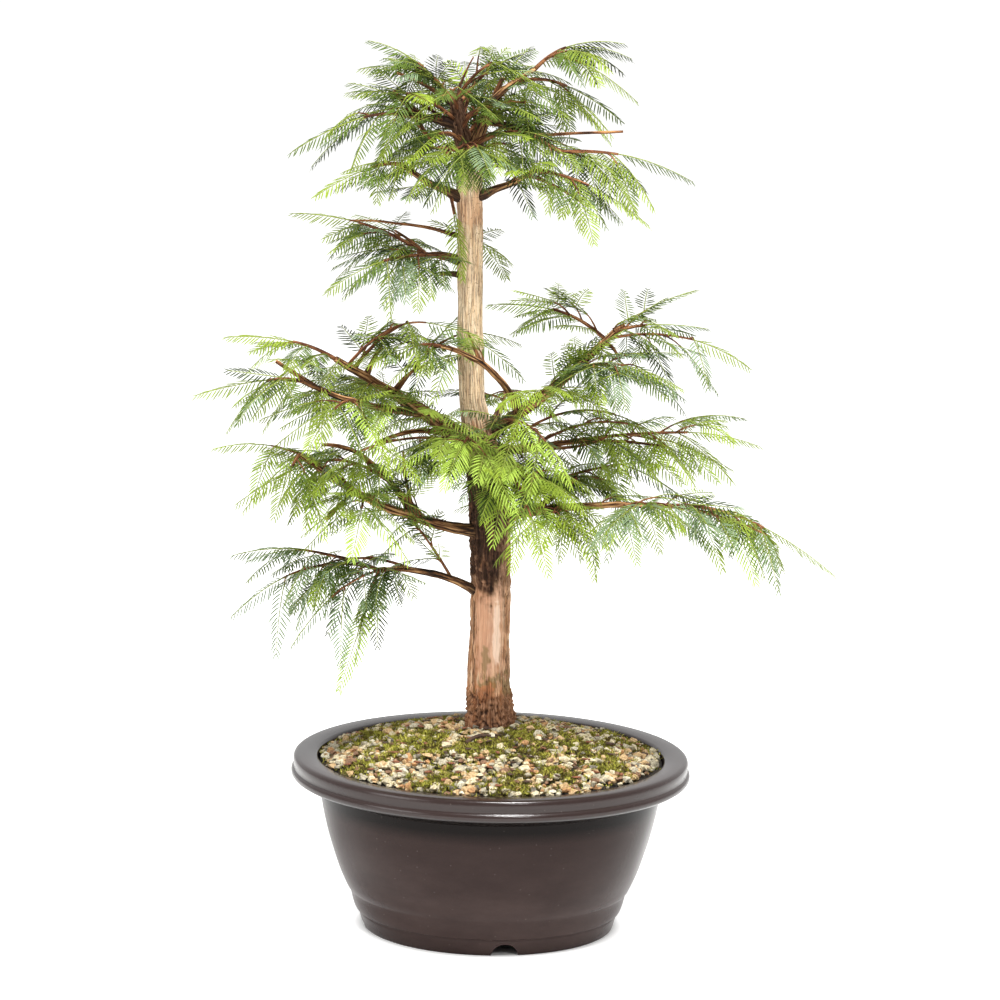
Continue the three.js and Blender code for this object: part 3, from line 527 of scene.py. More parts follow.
def grit_soil(settings):
    """Damp grit and bark compost: nearly black brown, partly as painted shade, with paler crumbs,
    and green where mossy.
    """
    material, tree, shader = new_material("damp_grit_and_gap_shade", settings.soil, 0.9)
    place = add_node(tree, "ShaderNodeTexCoord").outputs["Object"]
    crumbs = add_node(tree, "ShaderNodeTexNoise", {
        "Vector": place, "Scale": 420, "Detail": 6, "Roughness": 0.7})
    # The near black tones are partly the grit's own and partly painted shade in the gaps between
    # stones.
    tone = add_node(tree, "ShaderNodeValToRGB", {"Fac": crumbs.outputs[0]}, stops=[
        (0.38, opaque("#120E0A")), (0.57, opaque(settings.soil)), (0.75, opaque("#6E5C40"))])
    green = add_node(tree, "ShaderNodeValToRGB", {"Fac": crumbs.outputs[0]}, stops=[
        (0.38, opaque("#33291A")), (0.52, opaque("#5F5A2A")), (0.68, opaque("#88833E"))])
    moss = add_node(tree, "ShaderNodeAttribute", attribute_name="moss").outputs["Fac"]
    grown = add_node(tree, "ShaderNodeMix", {
        "Factor": moss, "A": tone.outputs[0], "B": green.outputs[0]}, data_type="RGBA")
    tree.links.new(grown.outputs[2], shader.inputs["Base Color"])
    bump = add_node(tree, "ShaderNodeBump", {
        "Height": crumbs.outputs[0], "Strength": 0.8, "Distance": 0.0012})
    tree.links.new(bump.outputs[0], shader.inputs["Normal"])
    return material


def stone_chip(name, colour, shade):
    """Broken stone, tumbled a little: matt, one colour a chip, mottled and pitted at 1.5 mm."""
    material, tree, shader = new_material(name, colour, 0.82, 1.52)
    place = add_node(tree, "ShaderNodeTexCoord").outputs["Object"]
    mottle = add_node(tree, "ShaderNodeTexNoise", {
        "Vector": place, "Scale": 700, "Detail": 4, "Roughness": 0.65})
    tone = add_node(tree, "ShaderNodeValToRGB", {"Fac": mottle.outputs[0]}, stops=[
        (0.36, opaque(shade)), (0.56, opaque(colour))])
    tree.links.new(tone.outputs[0], shader.inputs["Base Color"])
    bump = add_node(tree, "ShaderNodeBump", {
        "Height": mottle.outputs[0], "Strength": 0.6, "Distance": 0.0006})
    tree.links.new(bump.outputs[0], shader.inputs["Normal"])
    return material


def soft_leaf(name, colour, roughness):
    """A living leaf: one even green, a faint waxy sheen that breaks up along the leaf."""
    material, tree, shader = new_material(name, colour, roughness, 1.42, 0.14)
    place = add_node(tree, "ShaderNodeTexCoord").outputs["Object"]
    wax = add_node(tree, "ShaderNodeTexNoise", {"Vector": place, "Scale": 260, "Detail": 3})
    gloss = add_node(tree, "ShaderNodeMapRange", {
        "Value": wax.outputs[0], "To Min": roughness - 0.12, "To Max": roughness + 0.12})
    tree.links.new(gloss.outputs[0], shader.inputs["Roughness"])
    return material


def fibrous_bark(settings):
    """Redwood bark: tan fibres, dark splits with painted shade, peeled smooth in front, near black
    where old.
    """
    material, tree, shader = new_material("fibrous_bark", settings.tan, 0.86, 1.45, 0.25)
    # The mesh carries where each place lies along the grain, and how peeled, old or mossy it is.
    grain = add_node(tree, "ShaderNodeAttribute", attribute_name="grain").outputs["Vector"]
    marks = {
        name: add_node(tree, "ShaderNodeAttribute", attribute_name=name).outputs["Fac"]
        for name in ("young", "under", "peel", "pale", "rust", "moss", "old", "split")}
    # Noise drawn out along the trunk, in cycles a metre round it and along it, and its detail:
    # fibres 2 mm wide, the splits between strips of them, marks across young bark, and fuzz.
    drawn = {}
    for name, scale, detail in (
            ("fibres", (480, 480, 34), 8), ("splits", (360, 360, 22), 4),
            ("ticks", (210, 210, 620), 2), ("fuzz", (1000, 1000, 200), 6)):
        laid = add_node(tree, "ShaderNodeMapping", {"Vector": grain, "Scale": scale})
        drawn[name] = add_node(tree, "ShaderNodeTexNoise", {
            "Vector": laid.outputs[0], "Scale": 1, "Detail": detail, "Roughness": 0.68,
            "Distortion": 0.5}).outputs[0]
    ramps = {}
    for name, noise_name, stops in (
            ("tan", "fibres", [
                (0.30, opaque("#70452D")), (0.42, opaque("#A87853")), (0.53, opaque(settings.tan)),
                (0.66, opaque("#E8C9A8"))]),
            ("young", "fibres", [
                (0.30, opaque("#AE8A66")), (0.45, opaque("#DEC09A")), (0.65, opaque("#F4E2C4"))]),
            ("old", "fibres", [
                (0.38, opaque("#140B07")), (0.50, opaque(settings.dark)), (0.60, opaque("#5A3927")),
                (0.72, opaque("#94643F"))]),
            ("splits", "splits", [
                (0.455, grey(0)), (0.49, grey(0.7)), (0.51, grey(0.7)), (0.545, grey(0))]),
            ("ticks", "ticks", [(0.60, grey(0)), (0.70, grey(0.65))])):
        ramps[name] = add_node(
            tree, "ShaderNodeValToRGB", {"Fac": drawn[noise_name]}, stops=stops).outputs[0]
    bare = add_node(tree, "ShaderNodeMapRange", {
        "Value": marks["peel"], "To Min": 1, "To Max": -0.3})
    open_splits = add_node(tree, "ShaderNodeMath", {
        0: ramps["splits"], 1: bare.outputs[0]}, operation="MULTIPLY")
    young_ticks = add_node(tree, "ShaderNodeMath", {
        0: ramps["ticks"], 1: marks["young"]}, operation="MULTIPLY")
    # Each layer lies over the ones before it: how much of it shows, and its colour.
    # The last layer, split, is painted shade in the relief's deepest splits.
    base = ramps["tan"]
    for amount, colour in (
            (marks["young"], ramps["young"]), (marks["under"], opaque("#7C5034")),
            (marks["peel"], opaque(settings.peeled)), (marks["pale"], opaque("#F0D6C0")),
            (marks["rust"], opaque("#BC7A50")), (marks["moss"], opaque("#69633A")),
            (young_ticks.outputs[0], opaque("#7A563E")),
            (open_splits.outputs[0], opaque("#4A2F22")),
            (marks["old"], ramps["old"]), (marks["split"], opaque("#241610"))):
        base = add_node(tree, "ShaderNodeMix", {
            "Factor": amount, "A": base, "B": colour}, data_type="RGBA").outputs[2]
    tree.links.new(base, shader.inputs["Base Color"])
    bump = add_node(tree, "ShaderNodeBump", {
        "Height": drawn["fuzz"], "Strength": 0.8, "Distance": 0.0009})
    tree.links.new(bump.outputs[0], shader.inputs["Normal"])
    return material


def limb_bark(name, colours, stretch):
    """Bark of boughs and twigs: red-brown, in streaks 1.5 mm wide, pale where it was cut."""
    material, tree, shader = new_material(name, colours[1], 0.76, 1.45, 0.22)
    grain = add_node(tree, "ShaderNodeAttribute", attribute_name="grain").outputs["Vector"]
    streaks = add_node(tree, "ShaderNodeMapping", {
        "Vector": grain, "Scale": (700, 700, stretch)})
    streak = add_node(tree, "ShaderNodeTexNoise", {
        "Vector": streaks.outputs[0], "Scale": 1, "Detail": 6, "Roughness": 0.62})
    tone = add_node(tree, "ShaderNodeValToRGB", {"Fac": streak.outputs[0]}, stops=[
        (0.40, opaque(colours[0])), (0.50, opaque(colours[1])), (0.62, opaque(colours[2]))])
    base = tone.outputs[0]
    # The old mark darkens bark by a limb's root: partly old bark, partly painted shade.
    for mark, colour in (("old", "#241710"), ("cut", "#C2966C")):
        amount = add_node(tree, "ShaderNodeAttribute", attribute_name=mark).outputs["Fac"]
        base = add_node(tree, "ShaderNodeMix", {
            "Factor": amount, "A": base, "B": opaque(colour)}, data_type="RGBA").outputs[2]
    tree.links.new(base, shader.inputs["Base Color"])
    bump = add_node(tree, "ShaderNodeBump", {
        "Height": streak.outputs[0], "Strength": 0.7, "Distance": 0.0007})
    tree.links.new(bump.outputs[0], shader.inputs["Normal"])
    return material


# ------------------------------------------------------------------------------------------------
# Shapes
# ------------------------------------------------------------------------------------------------

def finish_piece(name, mesh, materials, nodes=()):
    """Links a mesh as a piece of the plant that stands for the named solids."""
    piece = bpy.data.objects.new(name, mesh)
    bpy.context.scene.collection.objects.link(piece)
    for material in materials:
        mesh.materials.append(material)
    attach(piece, BODY)
    if nodes:
        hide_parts(*nodes)
    return piece


def closed_mesh(name, form):
    """A mesh from a bmesh whose doubles are merged and whose faces point outwards."""
    bmesh.ops.remove_doubles(form, verts=form.verts, dist=1e-7)
    bmesh.ops.recalc_face_normals(form, faces=form.faces)
    mesh = bpy.data.meshes.new(name)
    form.to_mesh(mesh)
    form.free()
    return mesh


def triangles_of(form):
    """The points and triangles of a closed bmesh, as arrays."""
    bmesh.ops.recalc_face_normals(form, faces=form.faces)
    bmesh.ops.triangulate(form, faces=form.faces)
    form.verts.index_update()
    points = np.array([v.co for v in form.verts])
    faces = np.array([[v.index for v in f.verts] for f in form.faces])
    form.free()
    return points, faces


def rod_form(sides, rings):
    """A closed round bar of radius 1 from z 0 to z 1, cut across by evenly spaced rings."""
    form = bmesh.new()
    bmesh.ops.create_cone(
        form, cap_ends=True, segments=sides, radius1=1, radius2=1, depth=1,
        matrix=Matrix.Translation((0, 0, 0.5)))
    long_edges = [e for e in form.edges if abs(e.verts[0].co.z - e.verts[1].co.z) > 0.5]
    bmesh.ops.subdivide_edges(form, edges=long_edges, cuts=rings - 1, use_grid_fill=True)
    return form


def needle_form():
    """A needle of twelve faces: flat below, ridged above, pointed at both ends."""
    form = rod_form(3, 3)
    for level in (0, 1):
        ends = [v for v in form.verts if abs(v.co.z - level) < 0.01]
        bmesh.ops.pointmerge(form, verts=ends, merge_co=(0, 0, level))
    points, faces = triangles_of(form)
    # Where its ends and its two rings stand along it, and how wide they are.
    shares, widths = (0, 0.3, 0.74, 1), (0, 1, 0.86, 0)
    section = points[:, :2] @ np.array([[0, 1], [-1, 0]])
    share = np.interp(points[:, 2], (0, 1 / 3, 2 / 3, 1), shares)
    width = np.interp(share, shares, widths)
    # A three-sided ring of radius 1 reaches 0.866 to either side.
    half_side, ridge = 0.866, 0.3
    return share, section[:, 0] * width / half_side, section[:, 1] * width * ridge, faces


class Heap:
    """Many small closed shapes gathered into one mesh, each with its own look."""

    def __init__(self):
        self.points, self.faces, self.looks, self.grains = [], [], [], []
        self.count = 0

    def add(self, points, faces, look=0, grain=None):
        """Adds one shape, or several alike: points is (n, 3) or (copies, n, 3)."""
        points = points.reshape(-1, *points.shape[-2:])
        copies, size = points.shape[:2]
        starts = self.count + size * np.arange(copies)
        self.points.append(points.reshape(-1, 3))
        self.faces.append((faces[None] + starts[:, None, None]).reshape(-1, 3))
        looks = np.broadcast_to(np.asarray(look), (copies,))
        self.looks.append(np.repeat(looks, len(faces)))
        self.grains.append(points.reshape(-1, 3) if grain is None else grain)
        self.count += copies * size

    def mesh(self, name, smooth=False):
        """The gathered mesh, in metres."""
        faces = np.concatenate(self.faces)
        mesh = bpy.data.meshes.new(name)
        mesh.vertices.add(self.count)
        mesh.vertices.foreach_set("co", (np.concatenate(self.points) * MM).ravel())
        mesh.loops.add(faces.size)
        mesh.loops.foreach_set("vertex_index", faces.ravel().astype(np.int32))
        mesh.polygons.add(len(faces))
        mesh.polygons.foreach_set("loop_start", np.arange(0, faces.size, 3, dtype=np.int32))
        mesh.polygons.foreach_set("material_index", np.concatenate(self.looks).astype(np.int32))
        mesh.polygons.foreach_set("use_smooth", np.full(len(faces), smooth))
        mesh.update(calc_edges=True)
        return mesh

    def add_grain(self, mesh):
        """Stores where each point lies along and across its own limb, in metres."""
        grain = mesh.attributes.new("grain", "FLOAT_VECTOR", "POINT")
        grain.data.foreach_set("vector", (np.concatenate(self.grains) * MM).ravel())


# ------------------------------------------------------------------------------------------------
# The growth rule
# ------------------------------------------------------------------------------------------------

def seeded(seed):
    """A repeatable source of numbers from 0 to 1, the same as the source's."""
    state = seed
    while True:
        state = (1664525 * state + 1013904223) % 4294967296
        yield state / 4294967296


def unit(vector):
    """A vector, or an array of vectors, brought to length 1."""
    return vector / np.maximum(np.linalg.norm(vector, axis=-1, keepdims=True), 1e-9)


def turned(vector, axis, angle):
    """A vector turned about a unit axis by an angle in radians."""
    return (vector * math.cos(angle) + np.cross(axis, vector) * math.sin(angle)
            + axis * (axis @ vector) * (1 - math.cos(angle)))


def heading(turn):
    """The level unit vector of a turn in degrees."""
    return np.array((math.cos(math.radians(turn)), math.sin(math.radians(turn)), 0.0))


class Limb:
    """The middle line of a bough, stem or shoot.

    It reaches out level and rises, and its middle bows up and swings to the left of its turn.
    """

    def __init__(self, root, turn, reach, rise, bow=0.0, swing=0.0):
        self.root = np.asarray(root, float)
        self.out = heading(turn)
        self.side = np.cross(UP, self.out)
        self.reach, self.rise, self.bow, self.swing = reach, rise, bow, swing

    def point(self, t):
        """Where the line is at t, from 0 to 1; t may be an array."""
        t = np.asarray(t, float)[..., None]
        middle = 4 * t * (1 - t)
        return (self.root + self.out * self.reach * t + UP * (self.rise * t + self.bow * middle)
                + self.side * self.swing * middle)

    def ahead(self, t):
        """The unit direction of the line at t."""
        t = np.asarray(t, float)[..., None]
        slope = 4 * (1 - 2 * t)
        return unit(self.out * self.reach + UP * (self.rise + self.bow * slope)
                    + self.side * self.swing * slope)

    def length(self, until=1.0):
        """The line's length from its root to t = until."""
        line = self.point(np.linspace(0, until, 201))
        return float(np.linalg.norm(np.diff(line, axis=0), axis=1).sum())


def trunk_at(height):
    """The trunk's lean and radius at a height."""
    heights, leans, radii = zip(*TRUNK)
    return float(np.interp(height, heights, leans)), float(np.interp(height, heights, radii))


def carried_limb(limbs, carrier, where, *shape):
    """A limb whose root is on the trunk's middle line or inside another limb."""
    root = (trunk_at(where)[0], 0, where) if carrier is None else limbs[carrier].point(where)
    return Limb(root, *shape)


def grown_limbs():
    """The boughs' middle lines by name."""
    limbs = {}
    for name, carrier, where, turn, reach, rise, bow, swing, _base, _tip in BOUGHS:
        limbs[name] = carried_limb(limbs, carrier, where, turn, reach, rise, bow, swing)
    return limbs


class Shoots:
    """Sprays and the twiglets that carry them, grown with one seed."""

    def __init__(self, seed, spread, sag, lift=0.0):
        self.random = seeded(seed)
        self.seed, self.spread, self.sag, self.lift = seed, spread, sag, lift
        self.twigs, self.twiglets, self.sprays = [], [], []

    def spanned(self, low, high):
        """The next number of this mass, from low to high."""
        return low + (high - low) * next(self.random)

    def spray(self, start, along, length, drop, inner=False):
        """Notes one spray, turned a little about its own stalk."""
        flat = unit(np.cross(UP, along))
        side = turned(flat, along, math.radians(self.spanned(-ROLL, ROLL)))
        width = SPRAY_WIDTH * min(1, 0.55 + 0.45 * length / SPRAY_LENGTH)
        self.sprays.append((start, along, side, length, width, drop, inner))

    def spray_at_end(self, limb, t, length, drop, inner=False):
        """A spray that goes on from a limb's end, its root inside the limb."""
        ahead = limb.ahead(t)
        self.spray(limb.point(t) - ahead * SUNK, ahead, length, drop, inner)

    def room(self, share, off):
        """How far a shoot may reach to the side at a share of the stem."""
        across = self.spread / 2 * (0.72 + 0.28 * math.sin(math.pi * share))
        return across / math.sin(off)

    def clothe(self, limb, until, first, step):
        """Twiglets to the left and right by turns along a limb, a step apart."""
        last = limb.length(until)
        distance, hand = first, 1
        while distance < last:
            share = distance / last
            # They stand off by 34 to 66 degrees. The first ones carry the crown's inner sprays.
            off = math.radians(OFF_ANGLE + self.spanned(-18, 14))
            along = unit(turned(limb.ahead(share * until), UP, hand * off)
                         + UP * (self.spanned(-0.5, 0.42) + self.lift - DROOP * 0.4))
            reach = min(self.room(share, off) * (1 - 0.2 * share) - 24, self.spanned(15, 34))
            self.twiglet(limb.point(share * until), along, max(6, reach), share < 0.45)
            distance += step * self.spanned(0.7, 1.3)
            hand = -hand

    def twiglet(self, start, along, reach, inner):
        """A short twig with a spray at its end and opposite pairs behind."""
        turn = math.degrees(math.atan2(along[1], along[0]))
        level = math.hypot(along[0], along[1])
        twiglet = Limb(start, turn, reach * level, reach * along[2], 1.5)
        self.twiglets.append(twiglet)
        self.spray_at_end(
            twiglet, 1, self.spanned(34, 52), self.sag * self.spanned(0.2, 0.9), inner)
        # The first pair stands 5 mm behind the end, and the others 12 to 17 mm apart.
        distance = reach - 5
        while distance > 3:
            t = distance / reach
            for hand in (1, -1):
                if self.spanned(0, 1) < BARE_SHARE:
                    continue
                off = math.radians(self.spanned(40, 66))
                sideways = unit(turned(twiglet.ahead(t), UP, hand * off)
                                + UP * self.spanned(-0.3, 0.3))
                self.spray(twiglet.point(t), sideways, self.spanned(24, 44),
                           self.sag * self.spanned(0.1, 0.6), inner)
            distance -= self.spanned(12, 17)


class Growth(Shoots):
    """The twigs and sprays of one mass, by the source's rule, with finer twiglets between them."""

    # How far along its stem or twig the first twiglet grows.
    FIRST = 8

    def __init__(self, row, limbs, seed):
        (_name, carrier, where, turn, reach, rise, bow, spread, shoots, sag, piece, _blend) = row
        step, lift = TWIGLETS[piece]
        super().__init__(seed, spread, sag, lift)
        self.line = carried_limb(limbs, carrier, where, turn, reach, rise, bow)
        self.until = max(SHORTEST_STEM, 1 - 0.9 * SPRAY_LENGTH / self.line.length())
        self.grow(shoots)
        self.clothe(self.line, self.until, self.FIRST, step)
        for twig in self.twigs:
            self.clothe(twig, 1, self.FIRST, step)

    def grow(self, shoots):
        """Stem, shoots and sprays as the source has them."""
        line, until, sag = self.line, self.until, self.sag
        last = float(np.linalg.norm(line.point(until) - line.point(1))) + sag * 0.3
        self.spray_at_end(line, until, last, sag * 0.6)
        for i in range(shoots):
            share = (i + 0.75) / (shoots + 0.35)
            t = share * until
            hand = 1 if (i + self.seed) % 2 == 0 else -1
            off = math.radians(OFF_ANGLE + self.spanned(-OFF_JITTER, OFF_JITTER))
            start = line.point(t)
            along = unit(turned(line.ahead(t), UP, hand * off) - UP * DROOP)
            length = self.room(share, off) * self.spanned(0.92, 1.08)
            drop = sag * self.spanned(0.8, 1.2)
            if length < SPRAY_LENGTH * 1.3:
                self.spray(start, along, min(length, SPRAY_LENGTH * 1.05), drop)
                continue
            turn = math.degrees(math.atan2(along[1], along[0]))
            reach = length - SPRAY_LENGTH * 0.8
            twig = Limb(start, turn, reach, along[2] * reach - drop * 0.15, 1)
            self.twigs.append(twig)
            self.spray_at_end(twig, 1, SPRAY_LENGTH * self.spanned(0.85, 1), drop * 0.8)
            sideways = turned(twig.ahead(0.5), UP, -hand * off)
            shorter = SPRAY_LENGTH * self.spanned(0.7, 0.85)
            self.spray(twig.point(0.5), sideways, shorter, drop * 0.7)


# ------------------------------------------------------------------------------------------------
# Needles, twigs and limbs along their lines
# ------------------------------------------------------------------------------------------------

def tapering(root, fall):
    """The radius, at a share of its length, of wood that thins evenly to its tip."""
    return lambda share: root - fall * share


def bent_rod(rod, limb, until, radius_at):
    """A rod laid along a limb's middle line, and each point's place along its own grain."""
    share = rod[:, 2]
    t = share * until
    ahead = limb.ahead(np.clip(t, 0.001, 0.999))
    above = unit(np.cross(ahead, limb.side))
    beside = np.cross(above, ahead)
    radius = radius_at(share)[:, None]
    points = limb.point(t) + (beside * rod[:, :1] - above * rod[:, 1:2]) * radius
    grain = np.column_stack((rod[:, :2] * radius, share * limb.length(until)))
    return points, grain + limb.root


def spray_line(spray, share):
    """The stalk of a spray at each share of its length, and its direction there."""
    start, along, side, length, _width, drop, _inner = spray
    share = np.asarray(share)[:, None]
    bend = side * (start[0] * 1.7 % 1 - 0.5) * length * 0.2
    points = start + along * length * share - UP * drop * share ** 2 + bend * share ** 2
    return points, unit(along * length + (bend - UP * drop) * 2 * share)


class SprayMaker:
    """Turns each spray into a stalk and two ranks of needles."""

    # The share of a stalk that is bare at its foot.
    BARE = 0.05

    def __init__(self, settings, numbers):
        self.spacing = settings.needle_spacing / MM
        self.half_width = settings.needle_width / MM / 2
        self.needle = needle_form()
        self.stalk = triangles_of(rod_form(3, 5))
        self.numbers = numbers

    def stalk_points(self, spray):
        """The stalk: a three-sided rod that thins to its tip."""
        rod = self.stalk[0]
        centre, ahead = spray_line(spray, rod[:, 2])
        beside = unit(spray[2] - ahead * (ahead @ spray[2])[:, None])
        above = np.cross(ahead, beside)
        radius = tapering(*STALK_RADIUS)(rod[:, 2])[:, None]
        return centre + (beside * rod[:, :1] + above * rod[:, 1:2]) * radius

    def needle_points(self, spray):
        """Every needle of a spray, as (needles, points, 3), with its share along the stalk."""
        length, width, drop = spray[3:6]
        pairs = max(5, round(length * (1 - self.BARE) / self.spacing))
        shares = self.BARE + (1 - self.BARE) * (np.arange(pairs) + 0.5) / pairs
        shares = np.repeat(shares, 2)
        hand = np.tile((1.0, -1.0), pairs)
        jitter = self.numbers.uniform(-1, 1, (len(shares), 4))
        shares = shares + jitter[:, 3] * 0.15 / pairs
        centre, ahead = spray_line(spray, shares)
        beside = unit(spray[2] - ahead * (ahead @ spray[2])[:, None])
        above = np.cross(ahead, beside)
        above = above * np.sign(above @ UP + 1e-6)[:, None]
        # A needle leans 66 degrees off the stalk at its foot and 32 at its tip.
        angle = np.radians(66 - 34 * shares ** 1.6 + 5 * jitter[:, 0])[:, None]
        dip = 0.10 + 0.012 * drop + 0.10 * jitter[:, 1][:, None]
        out = unit(ahead * np.cos(angle) + beside * np.sin(angle) * hand[:, None] - above * dip)
        across = unit(np.cross(above, out))
        upward = np.cross(out, across)
        # The longest needles stand from a fifth to two fifths of the way along.
        grown = (0.55 + 0.45 * np.minimum(1, shares / 0.22)) * (
            1 - 0.64 * np.maximum(0, (shares - 0.42) / 0.58) ** 1.4)
        reach = (width * 0.4 * grown * (1 + 0.12 * jitter[:, 2]))[:, None, None]
        along, wide, high, _faces = self.needle
        # Needles under 9 mm are slimmer, and all curl toward the tip and hang a little.
        slim = np.sqrt(np.minimum(1, reach / 9))
        curl = ahead * 0.16 - UP * (0.10 + 0.006 * drop)
        points = (
            centre[:, None]
            + out[:, None] * along[None, :, None] * reach
            + across[:, None] * (wide[None, :, None] * self.half_width * slim)
            + upward[:, None] * (high[None, :, None] * self.half_width * slim)
            + curl[:, None] * (along[None, :, None] ** 2 * reach))
        return points, shares

    def add(self, spray, blend, needles, stalks):
        """Adds a spray to the heaps, its greens dealt from a blend and lighter at its tip."""
        green = int(self.numbers.choice(len(GREENS), p=blend))
        # Half the inner sprays take the shaded green, as painted shade deep in the crown.
        if spray[6] and self.numbers.uniform() < 0.5:
            green = GREENS.index("shaded")
        tip = max(min(green, GREENS.index("bright")), green - int(self.numbers.integers(0, 2)))
        points, shares = self.needle_points(spray)
        looks = np.where(shares > self.numbers.uniform(0.55, 0.85), tip, green)
        needles.add(points, self.needle[3], looks)
        stalks.add(self.stalk_points(spray), self.stalk[1], 1)


def bark_noise(point, scale):
    """Smooth noise from -1 to 1 at a place in millimetres."""
    return noise.noise(Vector(point) * scale)


def faded(value, low, high):
    """0 below low, 1 above high, with a smooth rise between."""
    share = min(1.0, max(0.0, (value - low) / (high - low)))
    return share * share * (3 - 2 * share)


def band(value, low, high, soft):
    """1 between low and high, with soft edges outside them."""
    return faded(value, low - soft, low) * (1 - faded(value, high, high + soft))


# The lowest height of the old dark bark in front, from the trunk's left to its right.
OLD_BARK_EDGE = ((-18, -13, -8, -2, 3, 9, 18), (272, 272, 264, 262, 276, 292, 300))


def trunk_marks(height, place, fray):
    """How old, young, peeled, pale, rusty and mossy the bark is at a place on the trunk.

    The marks are bands of height and of x, in front or all round, with frayed edges.
    """
    x, y = place
    front = faded(-y, -4, 4)
    edge = height + 8 * fray
    low_edge = float(np.interp(x, *OLD_BARK_EDGE))
    # In turn: the dark patch in front, its brown right side, the crown's knob and the foot.
    old = max(
        faded(edge, low_edge - 12, low_edge + 10) * (1 - faded(edge, 352, 392))
        * (0.45 + 0.55 * front) * (1 - 0.4 * faded(-fray, 0.1, 1.2))
        * (1 - 0.4 * faded(x + 3 * fray, 2, 9)),
        band(edge, 270, 350, 12) * band(x + 2 * fray, 6, 22, 3) * 0.5 * front,
        band(edge, 594, 660, 8) * 0.85,
        band(height + 5 * fray, 150, 180, 9) * 0.46)
    peel = band(edge, 208, 290, 12) * band(x + 2 * fray, -11, 5, 4) * front * (1 - old)
    pale = band(edge, 214, 252, 8) * band(x + 0.8 * fray, 0.6, 4.4, 1.1) * front
    rust = band(height + 7 * fray, 181, 190, 3) * band(x + 4 * fray, -12, 1, 3) * front
    tanned = band(edge, 205, 284, 10) * band(x + 2 * fray, -13, -5, 3) * front
    moss = max(
        band(height + 6 * fray, 190, 196, 3) * band(x + 5 * fray, -10, 3, 3),
        band(height + 4 * fray, 203, 220, 3) * band(x + 2 * fray, -8, -4, 1.5),
        band(height + 6 * fray, 185, 197, 3) * band(x, 9, 16, 2)) * front
    reddish = max(
        rust * 0.85, band(edge, 548, 566, 8) * 0.4, tanned * 0.26,
        band(height + 9 * fray, 150, 186, 6) * 0.42)
    return {
        "old": old * 0.95, "young": band(edge, 400, 590, 14), "peel": peel * 0.62,
        "pale": pale * 0.7, "rust": reddish, "moss": moss * 0.55,
    }


# ------------------------------------------------------------------------------------------------
# Operators
# ------------------------------------------------------------------------------------------------

